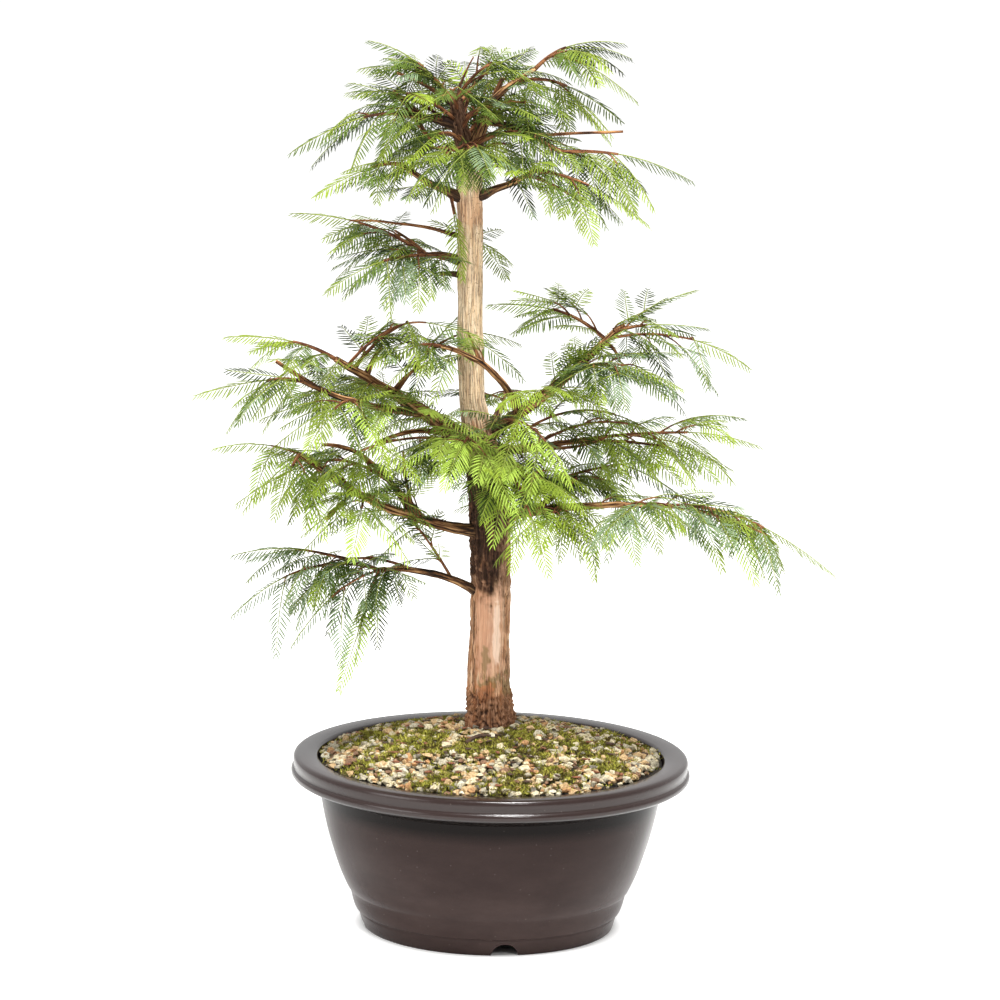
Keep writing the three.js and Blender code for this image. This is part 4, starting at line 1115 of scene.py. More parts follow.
class BONSAI_OT_stage(bpy.types.Operator):
    """Lays the floor, hangs the lights and sets up the camera"""
    bl_idname = "bonsai.make_stage"
    bl_label = "Stage"

    # Lengths here are in metres. The floor reaches 14 m each way. It has a painted glow up to where
    # the pot's foot covers it, and is a little brighter close round the pot to paint out its
    # shadow.
    FLOOR_REACH = 14
    FOOT_EDGE = (0.094, 0.104)
    HALO = 1.6
    HALO_EDGE = (0.1, 0.3)

    # The wall behind the plant is lit white. The room in front of it has this share of its light.
    ROOM_LIGHT = 0.34

    # Lights: name, place, size and share of the key light's power.
    LIGHTS = [
        ("key_light", (0.35, -0.95, 2.6), 0.7, 1),
        ("fill_light", (-1.9, -1.3, 1.0), 1.4, 0.2),
        ("edge_light", (0.7, -2.3, 1.7), 0.35, 0.14),
    ]

    # The camera stands 4.08 m from a point 0.3 m up the pot's axis, 11 degrees above the level.
    DISTANCE = 4.08
    LOOKS_DOWN = 11.05
    AIM_HEIGHT = 0.300
    AIM = (0.0028, 0, 0.3337)
    LENS = 191.75
    TILT = 1.23

    def execute(self, context):
        settings = context.scene.bonsai_stage
        self.lay_floor(context, settings)
        self.hang_lights(context, settings)
        self.place_camera(context)
        context.scene.view_settings.view_transform = "Standard"
        return {"FINISHED"}

    def lay_floor(self, context, settings):
        """The table: white acrylic with a painted glow, as if lit from below, and the faintest
        tooth.
        """
        form = bmesh.new()
        bmesh.ops.create_grid(form, x_segments=1, y_segments=1, size=self.FLOOR_REACH)
        mesh = bpy.data.meshes.new("floor")
        form.to_mesh(mesh)
        form.free()
        floor = bpy.data.objects.new("floor", mesh)
        context.scene.collection.objects.link(floor)
        material, tree, shader = new_material("lit_white_acrylic", settings.floor, 0.9)
        shader.inputs["Emission Color"].default_value = (1, 1, 1, 1)
        place = add_node(tree, "ShaderNodeTexCoord").outputs["Object"]
        away = add_node(tree, "ShaderNodeVectorMath", {0: place}, operation="LENGTH")
        glow = add_node(tree, "ShaderNodeMapRange", {
            "Value": away.outputs["Value"], "From Min": self.FOOT_EDGE[0],
            "From Max": self.FOOT_EDGE[1], "To Max": settings.glow})
        halo = add_node(tree, "ShaderNodeMapRange", {
            "Value": away.outputs["Value"], "From Min": self.HALO_EDGE[0],
            "From Max": self.HALO_EDGE[1], "To Min": self.HALO, "To Max": 1})
        lit = add_node(tree, "ShaderNodeMath", {
            0: glow.outputs[0], 1: halo.outputs[0]}, operation="MULTIPLY")
        tree.links.new(lit.outputs[0], shader.inputs["Emission Strength"])
        tooth = add_node(tree, "ShaderNodeTexNoise", {"Vector": place, "Scale": 300})
        bump = add_node(tree, "ShaderNodeBump", {
            "Height": tooth.outputs[0], "Strength": 0.05, "Distance": 0.0002})
        tree.links.new(bump.outputs[0], shader.inputs["Normal"])
        mesh.materials.append(material)

    def hang_lights(self, context, settings):
        """A white sky, a large soft light overhead, a weaker one left and a small one in front."""
        world = bpy.data.worlds.new("studio_sky")
        context.scene.world = world
        world.use_nodes = True
        tree = world.node_tree
        sky = tree.nodes["Background"]
        sky.inputs["Color"].default_value = (1, 1, 1, 1)
        direction = add_node(tree, "ShaderNodeTexCoord").outputs["Generated"]
        apart = add_node(tree, "ShaderNodeSeparateXYZ", {"Vector": direction})
        glow = add_node(tree, "ShaderNodeMapRange", {
            "Value": apart.outputs["Y"], "From Min": -0.5, "From Max": 0.7,
            "To Min": settings.sky * self.ROOM_LIGHT, "To Max": settings.sky})
        tree.links.new(glow.outputs[0], sky.inputs["Strength"])
        for name, place, size, share in self.LIGHTS:
            lamp = bpy.data.lights.new(name, "AREA")
            lamp.shape = "DISK"
            lamp.size = size
            lamp.energy = settings.key * share
            light = bpy.data.objects.new(name, lamp)
            light.location = place
            aim = Vector((0, 0, self.AIM_HEIGHT)) - light.location
            light.rotation_euler = aim.to_track_quat("-Z", "Y").to_euler()
            context.scene.collection.objects.link(light)

    def place_camera(self, context):
        """The camera, turned about its own axis by its slight tilt."""
        lens = bpy.data.cameras.new("camera")
        lens.lens = self.LENS
        lens.clip_end = 100
        camera = bpy.data.objects.new("camera", lens)
        down = math.radians(self.LOOKS_DOWN)
        camera.location = (
            0, -self.DISTANCE * math.cos(down), self.AIM_HEIGHT + self.DISTANCE * math.sin(down))
        look = (Vector(self.AIM) - camera.location).to_track_quat("-Z", "Y").to_matrix()
        camera.rotation_euler = (look @ Matrix.Rotation(math.radians(self.TILT), 3, "Z")).to_euler()
        context.scene.collection.objects.link(camera)
        context.scene.camera = camera


class BONSAI_OT_pot(bpy.types.Operator):
    """Spins the training pot and cuts the drains through its foot"""
    bl_idname = "bonsai.make_pot"
    bl_label = "Pot"

    # The plastic's specular level: dust has dulled the wall, and hands have polished the rim.
    WALL_GLOSS = 0.09
    RIM_GLOSS = 0.36

    # Edges that turn by more than this stay sharp, in degrees.
    SHARP_FROM = 38

    def execute(self, context):
        form = bmesh.new()
        points = [form.verts.new((radius * MM, 0, height * MM)) for radius, height in POT_SECTION]
        edges = [form.edges.new(pair) for pair in zip(points, points[1:])]
        bmesh.ops.spin(
            form, geom=points + edges, cent=(0, 0, 0), axis=(0, 0, 1), dvec=(0, 0, 0),
            angle=math.tau, steps=POT_STEPS, use_merge=True)
        mesh = closed_mesh("pot_shell", form)
        settings = context.scene.bonsai_pot
        materials = [
            moulded_plastic("moulded_polypropylene", settings, self.WALL_GLOSS),
            moulded_plastic("polished_polypropylene", settings, self.RIM_GLOSS)]
        pot = finish_piece("pot_shell", mesh, materials, ["pot"])
        self.cut_drains(context, pot)
        for face in pot.data.polygons:
            face.material_index = int(face.center.z > RIM_FOOT * MM)
        pot.data.shade_smooth()
        pot.data.set_sharp_from_angle(angle=math.radians(self.SHARP_FROM))
        return {"FINISHED"}

    def cut_drains(self, context, pot):
        """Half-round drains through the foot ring, all cut at once."""
        form = bmesh.new()
        for i in range(DRAINS):
            turn = math.radians(DRAIN_TURN + i * 360 / DRAINS)
            place = (
                Matrix.Rotation(turn, 4, "Z")
                @ Matrix.Translation((DRAIN_PLACE * MM, 0, -DRAIN_BELOW * MM))
                @ Matrix.Rotation(math.pi / 2, 4, "Y"))
            bmesh.ops.create_cone(
                form, cap_ends=True, segments=48, radius1=DRAIN_RADIUS * MM,
                radius2=DRAIN_RADIUS * MM, depth=DRAIN_LENGTH * MM, matrix=place)
        cutter = bpy.data.objects.new("drain_cutter", closed_mesh("drain_cutter", form))
        context.scene.collection.objects.link(cutter)
        cut = pot.modifiers.new("drains", "BOOLEAN")
        cut.operation = "DIFFERENCE"
        cut.solver = "EXACT"
        cut.object = cutter
        context.view_layer.update()
        evaluated = pot.evaluated_get(context.evaluated_depsgraph_get())
        mesh = bpy.data.meshes.new_from_object(evaluated)
        pot.modifiers.remove(cut)
        if len(mesh.polygons) < len(pot.data.polygons) // 2:
            raise RuntimeError("the drains weren't cut")
        pot.data = mesh
        bpy.data.objects.remove(cutter)


class BONSAI_OT_gravel(bpy.types.Operator):
    """Fills the pot with damp grit, and scatters stones, bark chips and moss on it"""
    bl_idname = "bonsai.make_gravel"
    bl_label = "Gravel"

    # Cushions of moss: x, y and radius.
    MOSS = [
        (-87, 22, 34), (-60, -24, 34), (4, -52, 20), (37, -50, 34), (66, -26, 34), (-21, -56, 22),
        (104, 25, 30), (16, -116, 22), (-40, -106, 26), (-93, -56, 24), (88, -56, 24),
        (-30, 60, 44), (40, 70, 40), (-70, 78, 30), (10, 108, 26), (95, 70, 26), (52, -88, 22),
        (-6, 26, 30), (-52, -44, 24), (30, -18, 26), (-104, -10, 18),
    ]

    # Kinds of stone: name, colour, darker mottle and share.
    STONES = [
        ("limestone_chip", "#D2C6A6", "#92815D", 0.25),
        ("sandstone_chip", "#C7A87C", "#8C7047", 0.26),
        ("flint_chip", "#B88A5A", "#785534", 0.09),
        ("granite_chip", "#B2A992", "#716852", 0.23),
        ("slate_chip", "#777062", "#4A4438", 0.05),
        ("ironstone_chip", "#86654A", "#553C2C", 0.08),
        ("quartz_chip", "#DCD4BC", "#AEA488", 0.04),
    ]

    SEED = 41

    # The stones lie in two layers: how far each stands off the dome, how many are in the upper
    # one, and how large its largest are beside the lower one's. Small stones are the commonest.
    LOWER_LIFT, UPPER_LIFT = -1.1, 0.9
    UPPER_STONES, UPPER_SIZE = 1000, 0.85
    SIZE_SPREAD = (1.35, 3.2)
    STONE_SHAPE = (1.1, 0.95, 0.74)
    WALL_GAP = 0.6

    # Flakes of bark: how many, how high they lie, their smallest and largest size, their shape.
    FLAKES = 150
    FLAKE_LIFT = 1.9
    FLAKE_SIZES = (3.5, 8)
    FLAKE_SHAPE = (1.5, 0.75, 0.22)

    # How far from the lip and from the trunk's middle each kind begins.
    STONES_FROM_LIP, MOSS_FROM_LIP, FLAKES_FROM_LIP = 4, 3, 8
    STONES_FROM_TRUNK, MOSS_FROM_TRUNK, FLAKES_FROM_TRUNK = 19, 17, 20

    # The piece of surface root: its place, and its turn, reach, rise, bow and swing.
    ROOT_PLACE = (-19, -50)
    ROOT_SHAPE = (24, 26, 2, 3.6, 3)

    def execute(self, context):
        settings = context.scene.bonsai_gravel
        self.numbers = np.random.default_rng(self.SEED)
        self.uneven = self.heaps_and_hollows()
        self.make_bed(settings)
        self.scatter_stones(settings)
        self.grow_moss(settings)
        self.lay_litter()
        return {"FINISHED"}

    @staticmethod
    def heaps_and_hollows():
        """The dome's rings from its edge inwards, and how far each ring's points stand off it."""
        numbers = seeded(SOIL_SEED)
        radii = np.arange(LIP_RADIUS - SOIL_RIM_GAP, SOIL_SEAT_RADIUS, -SOIL_RING_STEP)
        lifts = np.zeros((len(radii) + 1, SOIL_SPOKES + 1))
        for ring in range(1, len(radii)):
            for spoke in range(SOIL_SPOKES):
                lift = HEAP if (ring + spoke) % 2 else HOLLOW
                lifts[ring, spoke] = lift * (1 + UNEVENNESS * (2 * next(numbers) - 1))
        lifts[:, -1] = lifts[:, 0]
        return np.append(radii, SOIL_SEAT_RADIUS), lifts

    def height(self, x, y):
        """The gravel's height at a place: the dome, a little lower behind, with its heaps."""
        radius = math.hypot(x, y)
        share = max(0.0, (radius - SOIL_SEAT_RADIUS) / (LIP_RADIUS - SOIL_SEAT_RADIUS))
        dome = SOIL_EDGE + (SOIL_SEAT - SOIL_EDGE) * (1 - share ** SOIL_CROWNING)
        radii, lifts = self.uneven
        ring = float(np.interp(-radius, -radii, np.arange(len(radii))))
        spoke = (math.degrees(math.atan2(y, x)) + 90) % 360 * SOIL_SPOKES / 360
        low_ring, low_spoke = min(int(ring), len(radii) - 2), min(int(spoke), SOIL_SPOKES - 1)
        between_rings, between_spokes = ring - low_ring, spoke - low_spoke
        corner = lifts[low_ring:low_ring + 2, low_spoke:low_spoke + 2]
        lift = (np.array((1 - between_rings, between_rings)) @ corner
                @ np.array((1 - between_spokes, between_spokes)))
        return dome + float(lift) - SOIL_BACK_DROP * faded(y, 0, 60)

    @classmethod
    def mossiness(cls, x, y):
        """How much moss grows at a place, from 0 to 1."""
        nearest = max(1 - math.hypot(x - a, y - b) / r for a, b, r in cls.MOSS)
        return max(0.0, min(1.0, nearest * 1.5 + bark_noise((x, y, 3), 0.1) * 1.3 + 0.05))

    def make_bed(self, settings):
        """The grit itself: a low dome under the stones, closed below."""
        top = [(BED_RADIUS * i / BED_RINGS, SOIL_SEAT) for i in range(BED_RINGS + 1)]
        section = top + [(BED_FOOT_RADIUS, BED_FOOT), (0, BED_FOOT)]
        form = bmesh.new()
        points = [form.verts.new((radius * MM, 0, height * MM)) for radius, height in section]
        edges = [form.edges.new(pair) for pair in zip(points, points[1:])]
        bmesh.ops.spin(
            form, geom=points + edges, cent=(0, 0, 0), axis=(0, 0, 1), dvec=(0, 0, 0),
            angle=math.tau, steps=BED_STEPS, use_merge=True)
        for vertex in form.verts:
            if vertex.co.z > (BED_FOOT + 1) * MM:
                x, y, _z = vertex.co / MM
                lumps = bark_noise((x, y, 0), 0.22) * 0.9
                vertex.co.z = (self.height(x, y) - BED_DEPTH + lumps) * MM
        mesh = closed_mesh("grit_bed", form)
        moss = [self.mossiness(v.co.x / MM, v.co.y / MM) for v in mesh.vertices]
        mesh.attributes.new("moss", "FLOAT", "POINT").data.foreach_set("value", moss)
        mesh.shade_smooth()
        finish_piece("grit_bed", mesh, [grit_soil(settings)], ["gravel"])

    def rocks(self, kinds):
        """A few broken stones of about 22 flat faces, each the hull of points near a ball."""
        shapes = []
        for _kind in range(kinds):
            form = bmesh.new()
            for corner in unit(self.numbers.normal(size=(13, 3))):
                form.verts.new(corner * self.numbers.uniform(0.44, 0.58))
            bmesh.ops.convex_hull(form, input=form.verts)
            inside = [v for v in form.verts if not v.link_faces]
            bmesh.ops.delete(form, geom=inside, context="VERTS")
            shapes.append(triangles_of(form))
        return shapes

    def places(self, count, reach):
        """Places spread evenly over the dome by turns of the golden angle, then shaken."""
        index = np.arange(count) + 0.5
        radius = reach * np.sqrt(index / count)
        turn = index * math.pi * (3 - math.sqrt(5))
        shaken = self.numbers.normal(0, 1.1, (count, 2))
        return np.column_stack((radius * np.cos(turn), radius * np.sin(turn))) + shaken

    @staticmethod
    def rotations(quaternions):
        """The rotation matrices of unit quaternions."""
        w, x, y, z = quaternions.T
        rows = [
            [1 - 2 * (y * y + z * z), 2 * (x * y - z * w), 2 * (x * z + y * w)],
            [2 * (x * y + z * w), 1 - 2 * (x * x + z * z), 2 * (y * z - x * w)],
            [2 * (x * z - y * w), 2 * (y * z + x * w), 1 - 2 * (x * x + y * y)],
        ]
        return np.moveaxis(np.array(rows), 2, 0)

    def strew(self, heap, shapes, places, sizes, lifts, squash, looks):
        """Lays turned and scaled copies of the shapes on the dome."""
        for kind, (rock, faces) in enumerate(shapes):
            mine = np.arange(len(places)) % len(shapes) == kind
            count = int(mine.sum())
            stretch = self.numbers.uniform(0.78, 1.22, (count, 1, 3)) * squash
            turns = self.rotations(unit(self.numbers.normal(size=(count, 4))))
            spin = self.numbers.uniform(0, math.tau, count)
            level = self.rotations(np.column_stack((
                np.cos(spin / 2), np.zeros(count), np.zeros(count), np.sin(spin / 2))))
            points = np.einsum("nij,npj->npi", turns, np.broadcast_to(rock, (count, *rock.shape)))
            points = np.einsum("nij,npj->npi", level, points * stretch)
            points = points * sizes[mine][:, None, None]
            centre = np.column_stack((places[mine], lifts[mine]))
            heap.add(points + centre[:, None], faces, looks[mine])

    def scatter_stones(self, settings):
        """Two layers of broken stone, thinner where moss has grown over them."""
        heap = Heap()
        shapes = self.rocks(16)
        shares = np.array([row[3] for row in self.STONES])
        for count, lift, largest in (
                (settings.stones, self.LOWER_LIFT, 1.0),
                (self.UPPER_STONES, self.UPPER_LIFT, self.UPPER_SIZE)):
            places = self.places(count, LIP_RADIUS - self.STONES_FROM_LIP)
            sizes = settings.smallest + (settings.largest * largest - settings.smallest) * (
                self.numbers.beta(*self.SIZE_SPREAD, count))
            sizes = sizes / MM
            radius = np.linalg.norm(places, axis=1)
            from_trunk = np.linalg.norm(places - TRUNK_FOOT, axis=1)
            moss = np.array([self.mossiness(x, y) for x, y in places])
            kept = (
                (radius + sizes / 2 < LIP_RADIUS - self.WALL_GAP)
                & (from_trunk > self.STONES_FROM_TRUNK)
                & (self.numbers.uniform(0, 1, count) > moss * 0.8))
            lifts = np.array([self.height(x, y) for x, y in places]) + lift
            lifts += self.numbers.uniform(-0.7, 0.7, count)
            looks = self.numbers.choice(len(self.STONES), count, p=shares / shares.sum())
            self.strew(heap, shapes, places[kept], sizes[kept], lifts[kept],
                       np.array(self.STONE_SHAPE), looks[kept])
        materials = [stone_chip(name, colour, shade) for name, colour, shade, _ in self.STONES]
        finish_piece("gravel_stones", heap.mesh("gravel_stones"), materials)

    def grow_moss(self, settings):
        """Tufts of short blades, thick in the cushions and thin elsewhere."""
        heap = Heap()
        form = bmesh.new()
        bmesh.ops.create_cone(
            form, cap_ends=True, segments=3, radius1=1, radius2=0.01, depth=1,
            matrix=Matrix.Translation((0, 0, 0.5)))
        bmesh.ops.remove_doubles(form, verts=form.verts, dist=0.1)
        blade, faces = triangles_of(form)
        # Three places are tried for each tuft that the settings ask for.
        for x, y in self.places(settings.moss * 3, LIP_RADIUS - self.MOSS_FROM_LIP):
            moss = self.mossiness(x, y)
            bare = self.numbers.uniform() > 0.12 + 0.9 * moss
            if bare or math.hypot(x - TRUNK_FOOT[0], y) < self.MOSS_FROM_TRUNK:
                continue
            count = 4 + int(4 * moss)
            spots = (x, y) + self.numbers.normal(0, 1.5, (count, 2))
            lean = self.numbers.normal(0, 0.8, (count, 2))
            tall = self.numbers.uniform(1.0, 2.8, count)[:, None]
            thick = self.numbers.uniform(0.3, 0.6, count)[:, None]
            points = np.zeros((count, len(blade), 3))
            for axis in (0, 1):
                points[:, :, axis] = (
                    spots[:, axis:axis + 1] + blade[None, :, axis] * thick
                    + lean[:, axis:axis + 1] * blade[None, :, 2] * tall)
            foot = self.height(x, y) - 0.9 + 1.3 * moss
            points[:, :, 2] = foot + blade[None, :, 2] * tall
            heap.add(points, faces, int(self.numbers.integers(0, 3)))
        materials = [
            soft_leaf("cushion_moss_green", "#7A7A2E", 0.8),
            soft_leaf("cushion_moss_gold", "#A8A348", 0.8),
            soft_leaf("cushion_moss_dark", "#574B28", 0.8)]
        finish_piece("moss_tufts", heap.mesh("moss_tufts"), materials)

    def lay_litter(self):
        """Flakes of bark among the stones, and a bent piece of surface root by the trunk."""
        heap = Heap()
        places = self.places(self.FLAKES, LIP_RADIUS - self.FLAKES_FROM_LIP)
        lifts = np.array([self.height(x, y) for x, y in places]) + self.FLAKE_LIFT
        kept = np.linalg.norm(places - TRUNK_FOOT, axis=1) > self.FLAKES_FROM_TRUNK
        sizes = self.numbers.uniform(*self.FLAKE_SIZES, len(places))
        looks = self.numbers.integers(0, 2, len(places))
        self.strew(heap, self.rocks(4), places[kept], sizes[kept], lifts[kept],
                   np.array(self.FLAKE_SHAPE), looks[kept])
        rod, faces = triangles_of(rod_form(8, 14))
        root = Limb((*self.ROOT_PLACE, self.height(*self.ROOT_PLACE)), *self.ROOT_SHAPE)
        points, _grain = bent_rod(rod, root, 1, tapering(*SURFACE_ROOT_RADIUS))
        heap.add(points, faces, 0)
        materials = [
            stone_chip("bark_flake_dark", "#4E3626", "#2E2019"),
            stone_chip("bark_flake_red", "#8A5436", "#583524")]
        finish_piece("bark_litter", heap.mesh("bark_litter", smooth=True), materials)


class BONSAI_OT_trunk(bpy.types.Operator):
    """Raises the trunk with its flare, its lean and the relief of its bark"""
    bl_idname = "bonsai.make_trunk"
    bl_label = "Trunk"

    # The bark's pattern is laid out round a trunk of this even radius.
    SKIN_RADIUS = 15

    def execute(self, context):
        settings = context.scene.bonsai_bark
        form = rod_form(TRUNK_SIDES, TRUNK_RINGS)
        form.verts.index_update()
        marks = {}
        grain = np.zeros((len(form.verts), 3))
        low, high = TRUNK[0][0], TRUNK[-1][0]
        for vertex in form.verts:
            height = low + (high - low) * vertex.co.z
            lean, radius = trunk_at(height)
            turn = math.degrees(math.atan2(vertex.co.y, vertex.co.x)) % 360
            flare = max(0.0, (BUTTRESS_TOP - height) / (BUTTRESS_TOP - TRUNK[1][0]))
            across = vertex.co.xy
            wave = 1 + BUTTRESS_DEPTH * min(1, flare) * math.cos(math.radians(BUTTRESSES * turn))
            skin = (across.x * self.SKIN_RADIUS, across.y * self.SKIN_RADIUS, height)
            fray = (0.9 * bark_noise((skin[0], skin[1], height * 0.3), 0.42)
                    + bark_noise(skin, 0.17) + 0.6 * bark_noise(skin, 0.5))
            place = (lean + across.x * radius, across.y * radius)
            here = trunk_marks(height, place, fray)
            lift, here["under"] = self.relief(skin, here, settings.relief / MM)
            # Where the relief sinks more than 0.4 mm the bark is painted near black: painted shade
            # in the splits.
            here["split"] = 0.85 * faded(-lift, 0.4, 1.5) * (1 - here["peel"] * 0.6)
            for name, value in here.items():
                marks.setdefault(name, np.zeros(len(form.verts)))[vertex.index] = value
            grain[vertex.index] = skin
            out = radius * wave + lift
            vertex.co = Vector((lean + across.x * out, across.y * out, height)) * MM
        bmesh.ops.recalc_face_normals(form, faces=form.faces)
        mesh = bpy.data.meshes.new("trunk_bark")
        form.to_mesh(mesh)
        form.free()
        mesh.shade_smooth()
        mesh.attributes.new("grain", "FLOAT_VECTOR", "POINT").data.foreach_set(
            "vector", (grain * MM).ravel())
        for name, values in marks.items():
            mesh.attributes.new(name, "FLOAT", "POINT").data.foreach_set("value", values)
        finish_piece("trunk_bark", mesh, [fibrous_bark(settings)], ["trunk"])
        return {"FINISHED"}

    @staticmethod
    def relief(skin, marks, depth):
        """How far the bark stands out, and how much of it is under bark that a strip has left."""
        x, y, z = skin
        stray = bark_noise((x, y, z * 0.5), 0.16) * 1.6
        x, y = x + stray, y - stray
        # Long strips with valleys between them, threads on them, loose plates, and crumbs.
        strips = bark_noise((x, y, z * 0.06), 0.42)
        valley = max(0.0, 0.2 - abs(strips)) / 0.2
        threads = bark_noise((x, y, z * 0.1), 1.1)
        swell = bark_noise((x, y, z * 0.4), 0.07)
        plate = faded(bark_noise((x, y, z * 0.22), 0.3), -0.03, 0.07)
        crumbs = bark_noise((x, y, z * 0.8), 0.45) + 0.8 * bark_noise((x, y, z), 1.0)
        low = faded(200 - z, 0, 22)
        smooth = 1 - 1.4 * marks["peel"]
        rough = smooth * (1 - 0.5 * marks["young"]) * (1 - 0.6 * low)
        lift = depth * (
            (0.2 - valley + 0.45 * threads + 0.7 * (plate - 0.6)) * rough + 0.8 * swell
            + crumbs * (1.7 * marks["old"] + 2.1 * low))
        return lift, (1 - plate) * 0.35 * rough


class BONSAI_OT_boughs(bpy.types.Operator):
    """Grows the boughs, the bare twigs and the cut stubs"""
    bl_idname = "bonsai.make_boughs"
    bl_label = "Boughs"

    SIDES = 18
    RINGS = 56

    # How far a limb runs inside the trunk or inside another limb before it comes out. There it
    # is thicker by this share, which fades over this length, as its old bark does over its own.
    # That old bark is partly real and partly painted shade where the limb meets its carrier.
    SEAT_IN_TRUNK, SEAT_IN_LIMB = 14, 3
    SWELLING, SWELLING_LENGTH = 0.34, 7
    OLD_BARK_AND_SHADE_LENGTH = 16

    def execute(self, context):
        limbs = grown_limbs()
        rod, faces = triangles_of(rod_form(self.SIDES, self.RINGS))
        heap = Heap()
        old, cut = [], []
        for index, row in enumerate(BOUGHS + BARE_TWIGS):
            name, carrier, where, turn, reach, rise, bow, swing, base, tip = row
            limb = carried_limb(limbs, carrier, where, turn, reach, rise, bow, swing)
            thick = index < len(BOUGHS)
            points, grain, old_bark_and_shade = self.limb(rod, limb, (base, tip), index, thick, carrier is None)
            heap.add(points, faces, 0 if thick else 1, grain)
            old.append(old_bark_and_shade)
            cut.append((rod[:, 2] > 0.999) * float(name in CUT_ENDS))
        mesh = heap.mesh("bough_bark", smooth=True)
        heap.add_grain(mesh)
        for mark, values in (("old", old), ("cut", cut)):
            mesh.attributes.new(mark, "FLOAT", "POINT").data.foreach_set(
                "value", np.concatenate(values))
        materials = [
            limb_bark("bough_bark", ("#140C07", "#6E482B", "#CC9F6C"), 40),
            limb_bark("twig_bark", ("#26150D", "#6E4428", "#AE7E50"), 60)]
        nodes = ["bough_" + row[0] for row in BOUGHS]
        finish_piece("bough_bark", mesh, materials, nodes)
        return {"FINISHED"}

    @classmethod
    def limb(cls, rod, limb, radii, index, thick, on_trunk):
        """One limb: its wandering line, its swellings and the streaks of its bark."""
        length = limb.length()
        share = rod[:, 2]
        seat = cls.SEAT_IN_TRUNK if on_trunk else cls.SEAT_IN_LIMB
        base, tip = radii

        def radius_at(share):
            """The limb's radius, swollen where it comes out."""
            out = np.maximum(0, share * length - seat)
            swollen = 1 + cls.SWELLING * np.exp(-out / cls.SWELLING_LENGTH)
            return (base + (tip - base) * share) * swollen

        points, grain = bent_rod(rod, limb, 1, radius_at)
        centre = limb.point(share)
        rays = points - centre
        # The line strays from its curve, most in its middle, by noise of its own for each axis.
        wander = (1.5 if thick else 0.9) * np.sin(math.pi * np.clip(share, 0, 1))
        lifts = np.empty(len(points))
        drift = np.empty((len(points), 3))
        for i, (place, distance) in enumerate(zip(grain, share * length)):
            streak = noise.noise(Vector((place[0], place[1], distance * 0.12)) * 0.8)
            knots = noise.noise(Vector((index * 9.7, distance * 0.11, 0)))
            lifts[i] = 1 + 0.13 * streak + 0.2 * max(0.0, knots - 0.1)
            drift[i] = [
                noise.noise(Vector((index * 5.3, distance * 0.045, depth)))
                for depth in (1.7, 7.8, 13.9)]
        points = centre + rays * lifts[:, None] + drift * wander[:, None]
        # Bark darkens near the join, most on the trunk: partly old bark, partly painted shade.
        near = np.exp(-np.maximum(0, share * length - seat) / cls.OLD_BARK_AND_SHADE_LENGTH)
        old_bark_and_shade = np.clip(near * (0.85 if on_trunk else 0.4), 0, 0.9)
        return points, grain, old_bark_and_shade


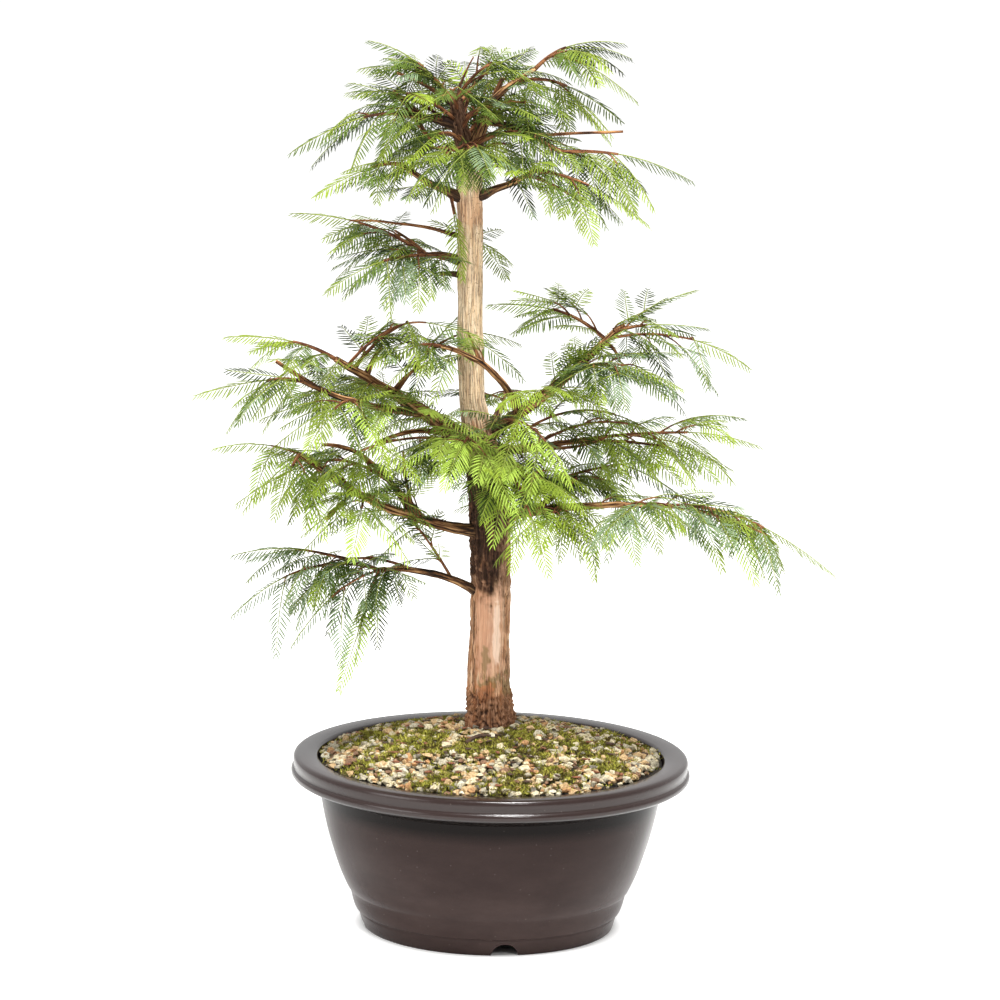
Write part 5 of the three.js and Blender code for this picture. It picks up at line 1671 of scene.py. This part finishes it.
class BONSAI_OT_foliage(bpy.types.Operator):
    """Grows every mass of foliage: its stem, twigs, sprays and needles"""
    bl_idname = "bonsai.make_foliage"
    bl_label = "Foliage"

    # Seeds of the sprays on the boughs, on the trunk's top and on the leafy twigs, where a mass
    # takes its own number, and of the needles and their greens.
    BOUGH_SEED, TOP_SEED, TWIG_SEED = 200, 300, 400
    NEEDLE_SEED = 7

    def execute(self, context):
        settings = context.scene.bonsai_foliage
        limbs = grown_limbs()
        self.maker = SprayMaker(settings, np.random.default_rng(self.NEEDLE_SEED))
        self.stem_rod = triangles_of(rod_form(6, 12))
        self.thin_rod = triangles_of(rod_form(3, 3))
        self.needles, self.twigs, nodes = {}, {}, {}
        for index, row in enumerate(MASSES):
            name, piece, blend = row[0], row[-2], row[-1]
            growth = Growth(row, limbs, index + 1)
            nodes.setdefault(piece, []).append("foliage_" + name)
            self.lay_wood(piece, self.stem_rod, growth.line, STEM_RADIUS, growth.until)
            self.add(growth, piece, blend)
        for index, (name, (piece, first, blend)) in enumerate(LEAFY_BOUGHS.items()):
            shoots = Shoots(self.BOUGH_SEED + index, spread=72, sag=14)
            shoots.clothe(limbs[name], until=1, first=first * limbs[name].length(), step=16)
            self.add(shoots, piece, blend)
        for index, (_name, carrier, where, *shape, piece, blend) in enumerate(LEAFY_TWIGS):
            twig = carried_limb(limbs, carrier, where, *shape)
            shoots = Shoots(self.TWIG_SEED + index, spread=62, sag=14)
            self.lay_wood(piece, self.stem_rod, twig, LEAFY_TWIG_RADIUS)
            shoots.clothe(twig, until=1, first=10, step=17)
            shoots.spray_at_end(twig, 1, length=46, drop=10)
            self.add(shoots, piece, blend)
        self.add(self.top_shoots("crown"), "crown", "crown")
        self.finish(settings, nodes)
        return {"FINISHED"}

    def heaps(self, piece):
        """The heaps of needles and of twigs of a piece."""
        return self.needles.setdefault(piece, Heap()), self.twigs.setdefault(piece, Heap())

    def lay_wood(self, piece, rod, limb, radius, until=1):
        """Adds a rod that thins along a limb to the twigs of a piece."""
        points, grain = bent_rod(rod[0], limb, until, tapering(*radius))
        self.heaps(piece)[1].add(points, rod[1], 0, grain)

    def top_shoots(self, piece):
        """The shoots round the trunk's top."""
        shoots = Shoots(self.TOP_SEED, spread=66, sag=12)
        for index in range(TOP_SHOOTS):
            height = TOP_LOW + (TOP_HIGH - TOP_LOW) * index / (TOP_SHOOTS - 1)
            rise = shoots.spanned(-6, 14) + 30 * index / TOP_SHOOTS
            limb = Limb((trunk_at(height)[0], 0, height), index * GOLDEN_TURN % 360,
                        reach=shoots.spanned(28, 54), rise=rise, bow=4)
            self.lay_wood(piece, self.stem_rod, limb, STEM_RADIUS)
            shoots.clothe(limb, until=1, first=12, step=15)
            shoots.spray_at_end(limb, 1, length=shoots.spanned(34, 50), drop=9)
        return shoots

    def add(self, shoots, piece, blend):
        """Adds twigs, twiglets and sprays to the heaps of their piece."""
        for twig in shoots.twigs:
            self.lay_wood(piece, self.stem_rod, twig, TWIG_RADIUS)
        for twiglet in shoots.twiglets:
            self.lay_wood(piece, self.thin_rod, twiglet, TWIGLET_RADIUS)
        for spray in shoots.sprays:
            if self.is_clear(spray):
                self.maker.add(spray, BLENDS[blend], *self.heaps(piece))

    def finish(self, settings, nodes):
        """Makes the pieces, each kind apart."""
        greens = [
            soft_leaf(f"needle_{green}", getattr(settings, green), 0.55) for green in GREENS]
        bark = [
            limb_bark("shoot_bark", ("#3A2218", "#6F432A", "#A0714A"), 60),
            soft_leaf("green_stalk", "#7F8A3C", 0.6)]
        for piece, heap in self.needles.items():
            finish_piece(
                f"needles_{piece}", heap.mesh(f"needles_{piece}"), greens, nodes[piece])
            mesh = self.twigs[piece].mesh(f"twigs_{piece}", smooth=True)
            self.twigs[piece].add_grain(mesh)
            # The bark's marks, which stay 0 on wood as young as this.
            for mark in ("old", "cut"):
                mesh.attributes.new(mark, "FLOAT", "POINT")
            finish_piece(f"twigs_{piece}", mesh, bark)

    @staticmethod
    def is_clear(spray):
        """True if the spray's outer half clears the trunk by 2 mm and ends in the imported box."""
        points, _ahead = spray_line(spray, (0.5, 0.75, 1))
        for x, y, z in points:
            lean, radius = trunk_at(z)
            if math.hypot(x - lean, y) < radius + 2 and z < TRUNK[-1][0]:
                return False
            if y < 0 and abs(x - lean) < KNOB_REACH and KNOB_LOW < z < KNOB_HIGH:
                return False
        # Its tip may pass the box by 4 mm.
        low, high = (np.array(corner) / MM for corner in PACKED_BOX)
        return bool(np.all(points[-1] > low - 4) and np.all(points[-1] < high + 4))


OPERATORS = [
    BONSAI_OT_stage, BONSAI_OT_pot, BONSAI_OT_gravel, BONSAI_OT_trunk, BONSAI_OT_boughs,
    BONSAI_OT_foliage,
]


class BONSAI_PT_panel(bpy.types.Panel):
    """Lists the operators and their settings"""
    bl_idname = "BONSAI_PT_panel"
    bl_label = "Dawn Redwood Bonsai"
    bl_space_type = "VIEW_3D"
    bl_region_type = "UI"
    bl_category = "Bonsai"

    def draw(self, context):
        for operator in OPERATORS:
            self.layout.operator(operator.bl_idname)
        for name, group in SETTINGS.items():
            box = self.layout.box()
            for setting in group.__annotations__:
                box.prop(getattr(context.scene, name), setting)


def register():
    """Makes the classes and the scene's settings known to Blender."""
    for cls in (*SETTINGS.values(), *OPERATORS, BONSAI_PT_panel):
        bpy.utils.register_class(cls)
    for name, group in SETTINGS.items():
        setattr(bpy.types.Scene, name, PointerProperty(type=group))


def unregister():
    """Takes the scene's settings and the classes away again."""
    for name in SETTINGS:
        delattr(bpy.types.Scene, name)
    for cls in (BONSAI_PT_panel, *reversed(OPERATORS), *reversed(SETTINGS.values())):
        bpy.utils.unregister_class(cls)


def main():
    """Registers the add-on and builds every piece."""
    register()
    for operator in OPERATORS:
        group, name = operator.bl_idname.split(".")
        getattr(getattr(bpy.ops, group), name)()


if __name__ == "__main__":
    main()
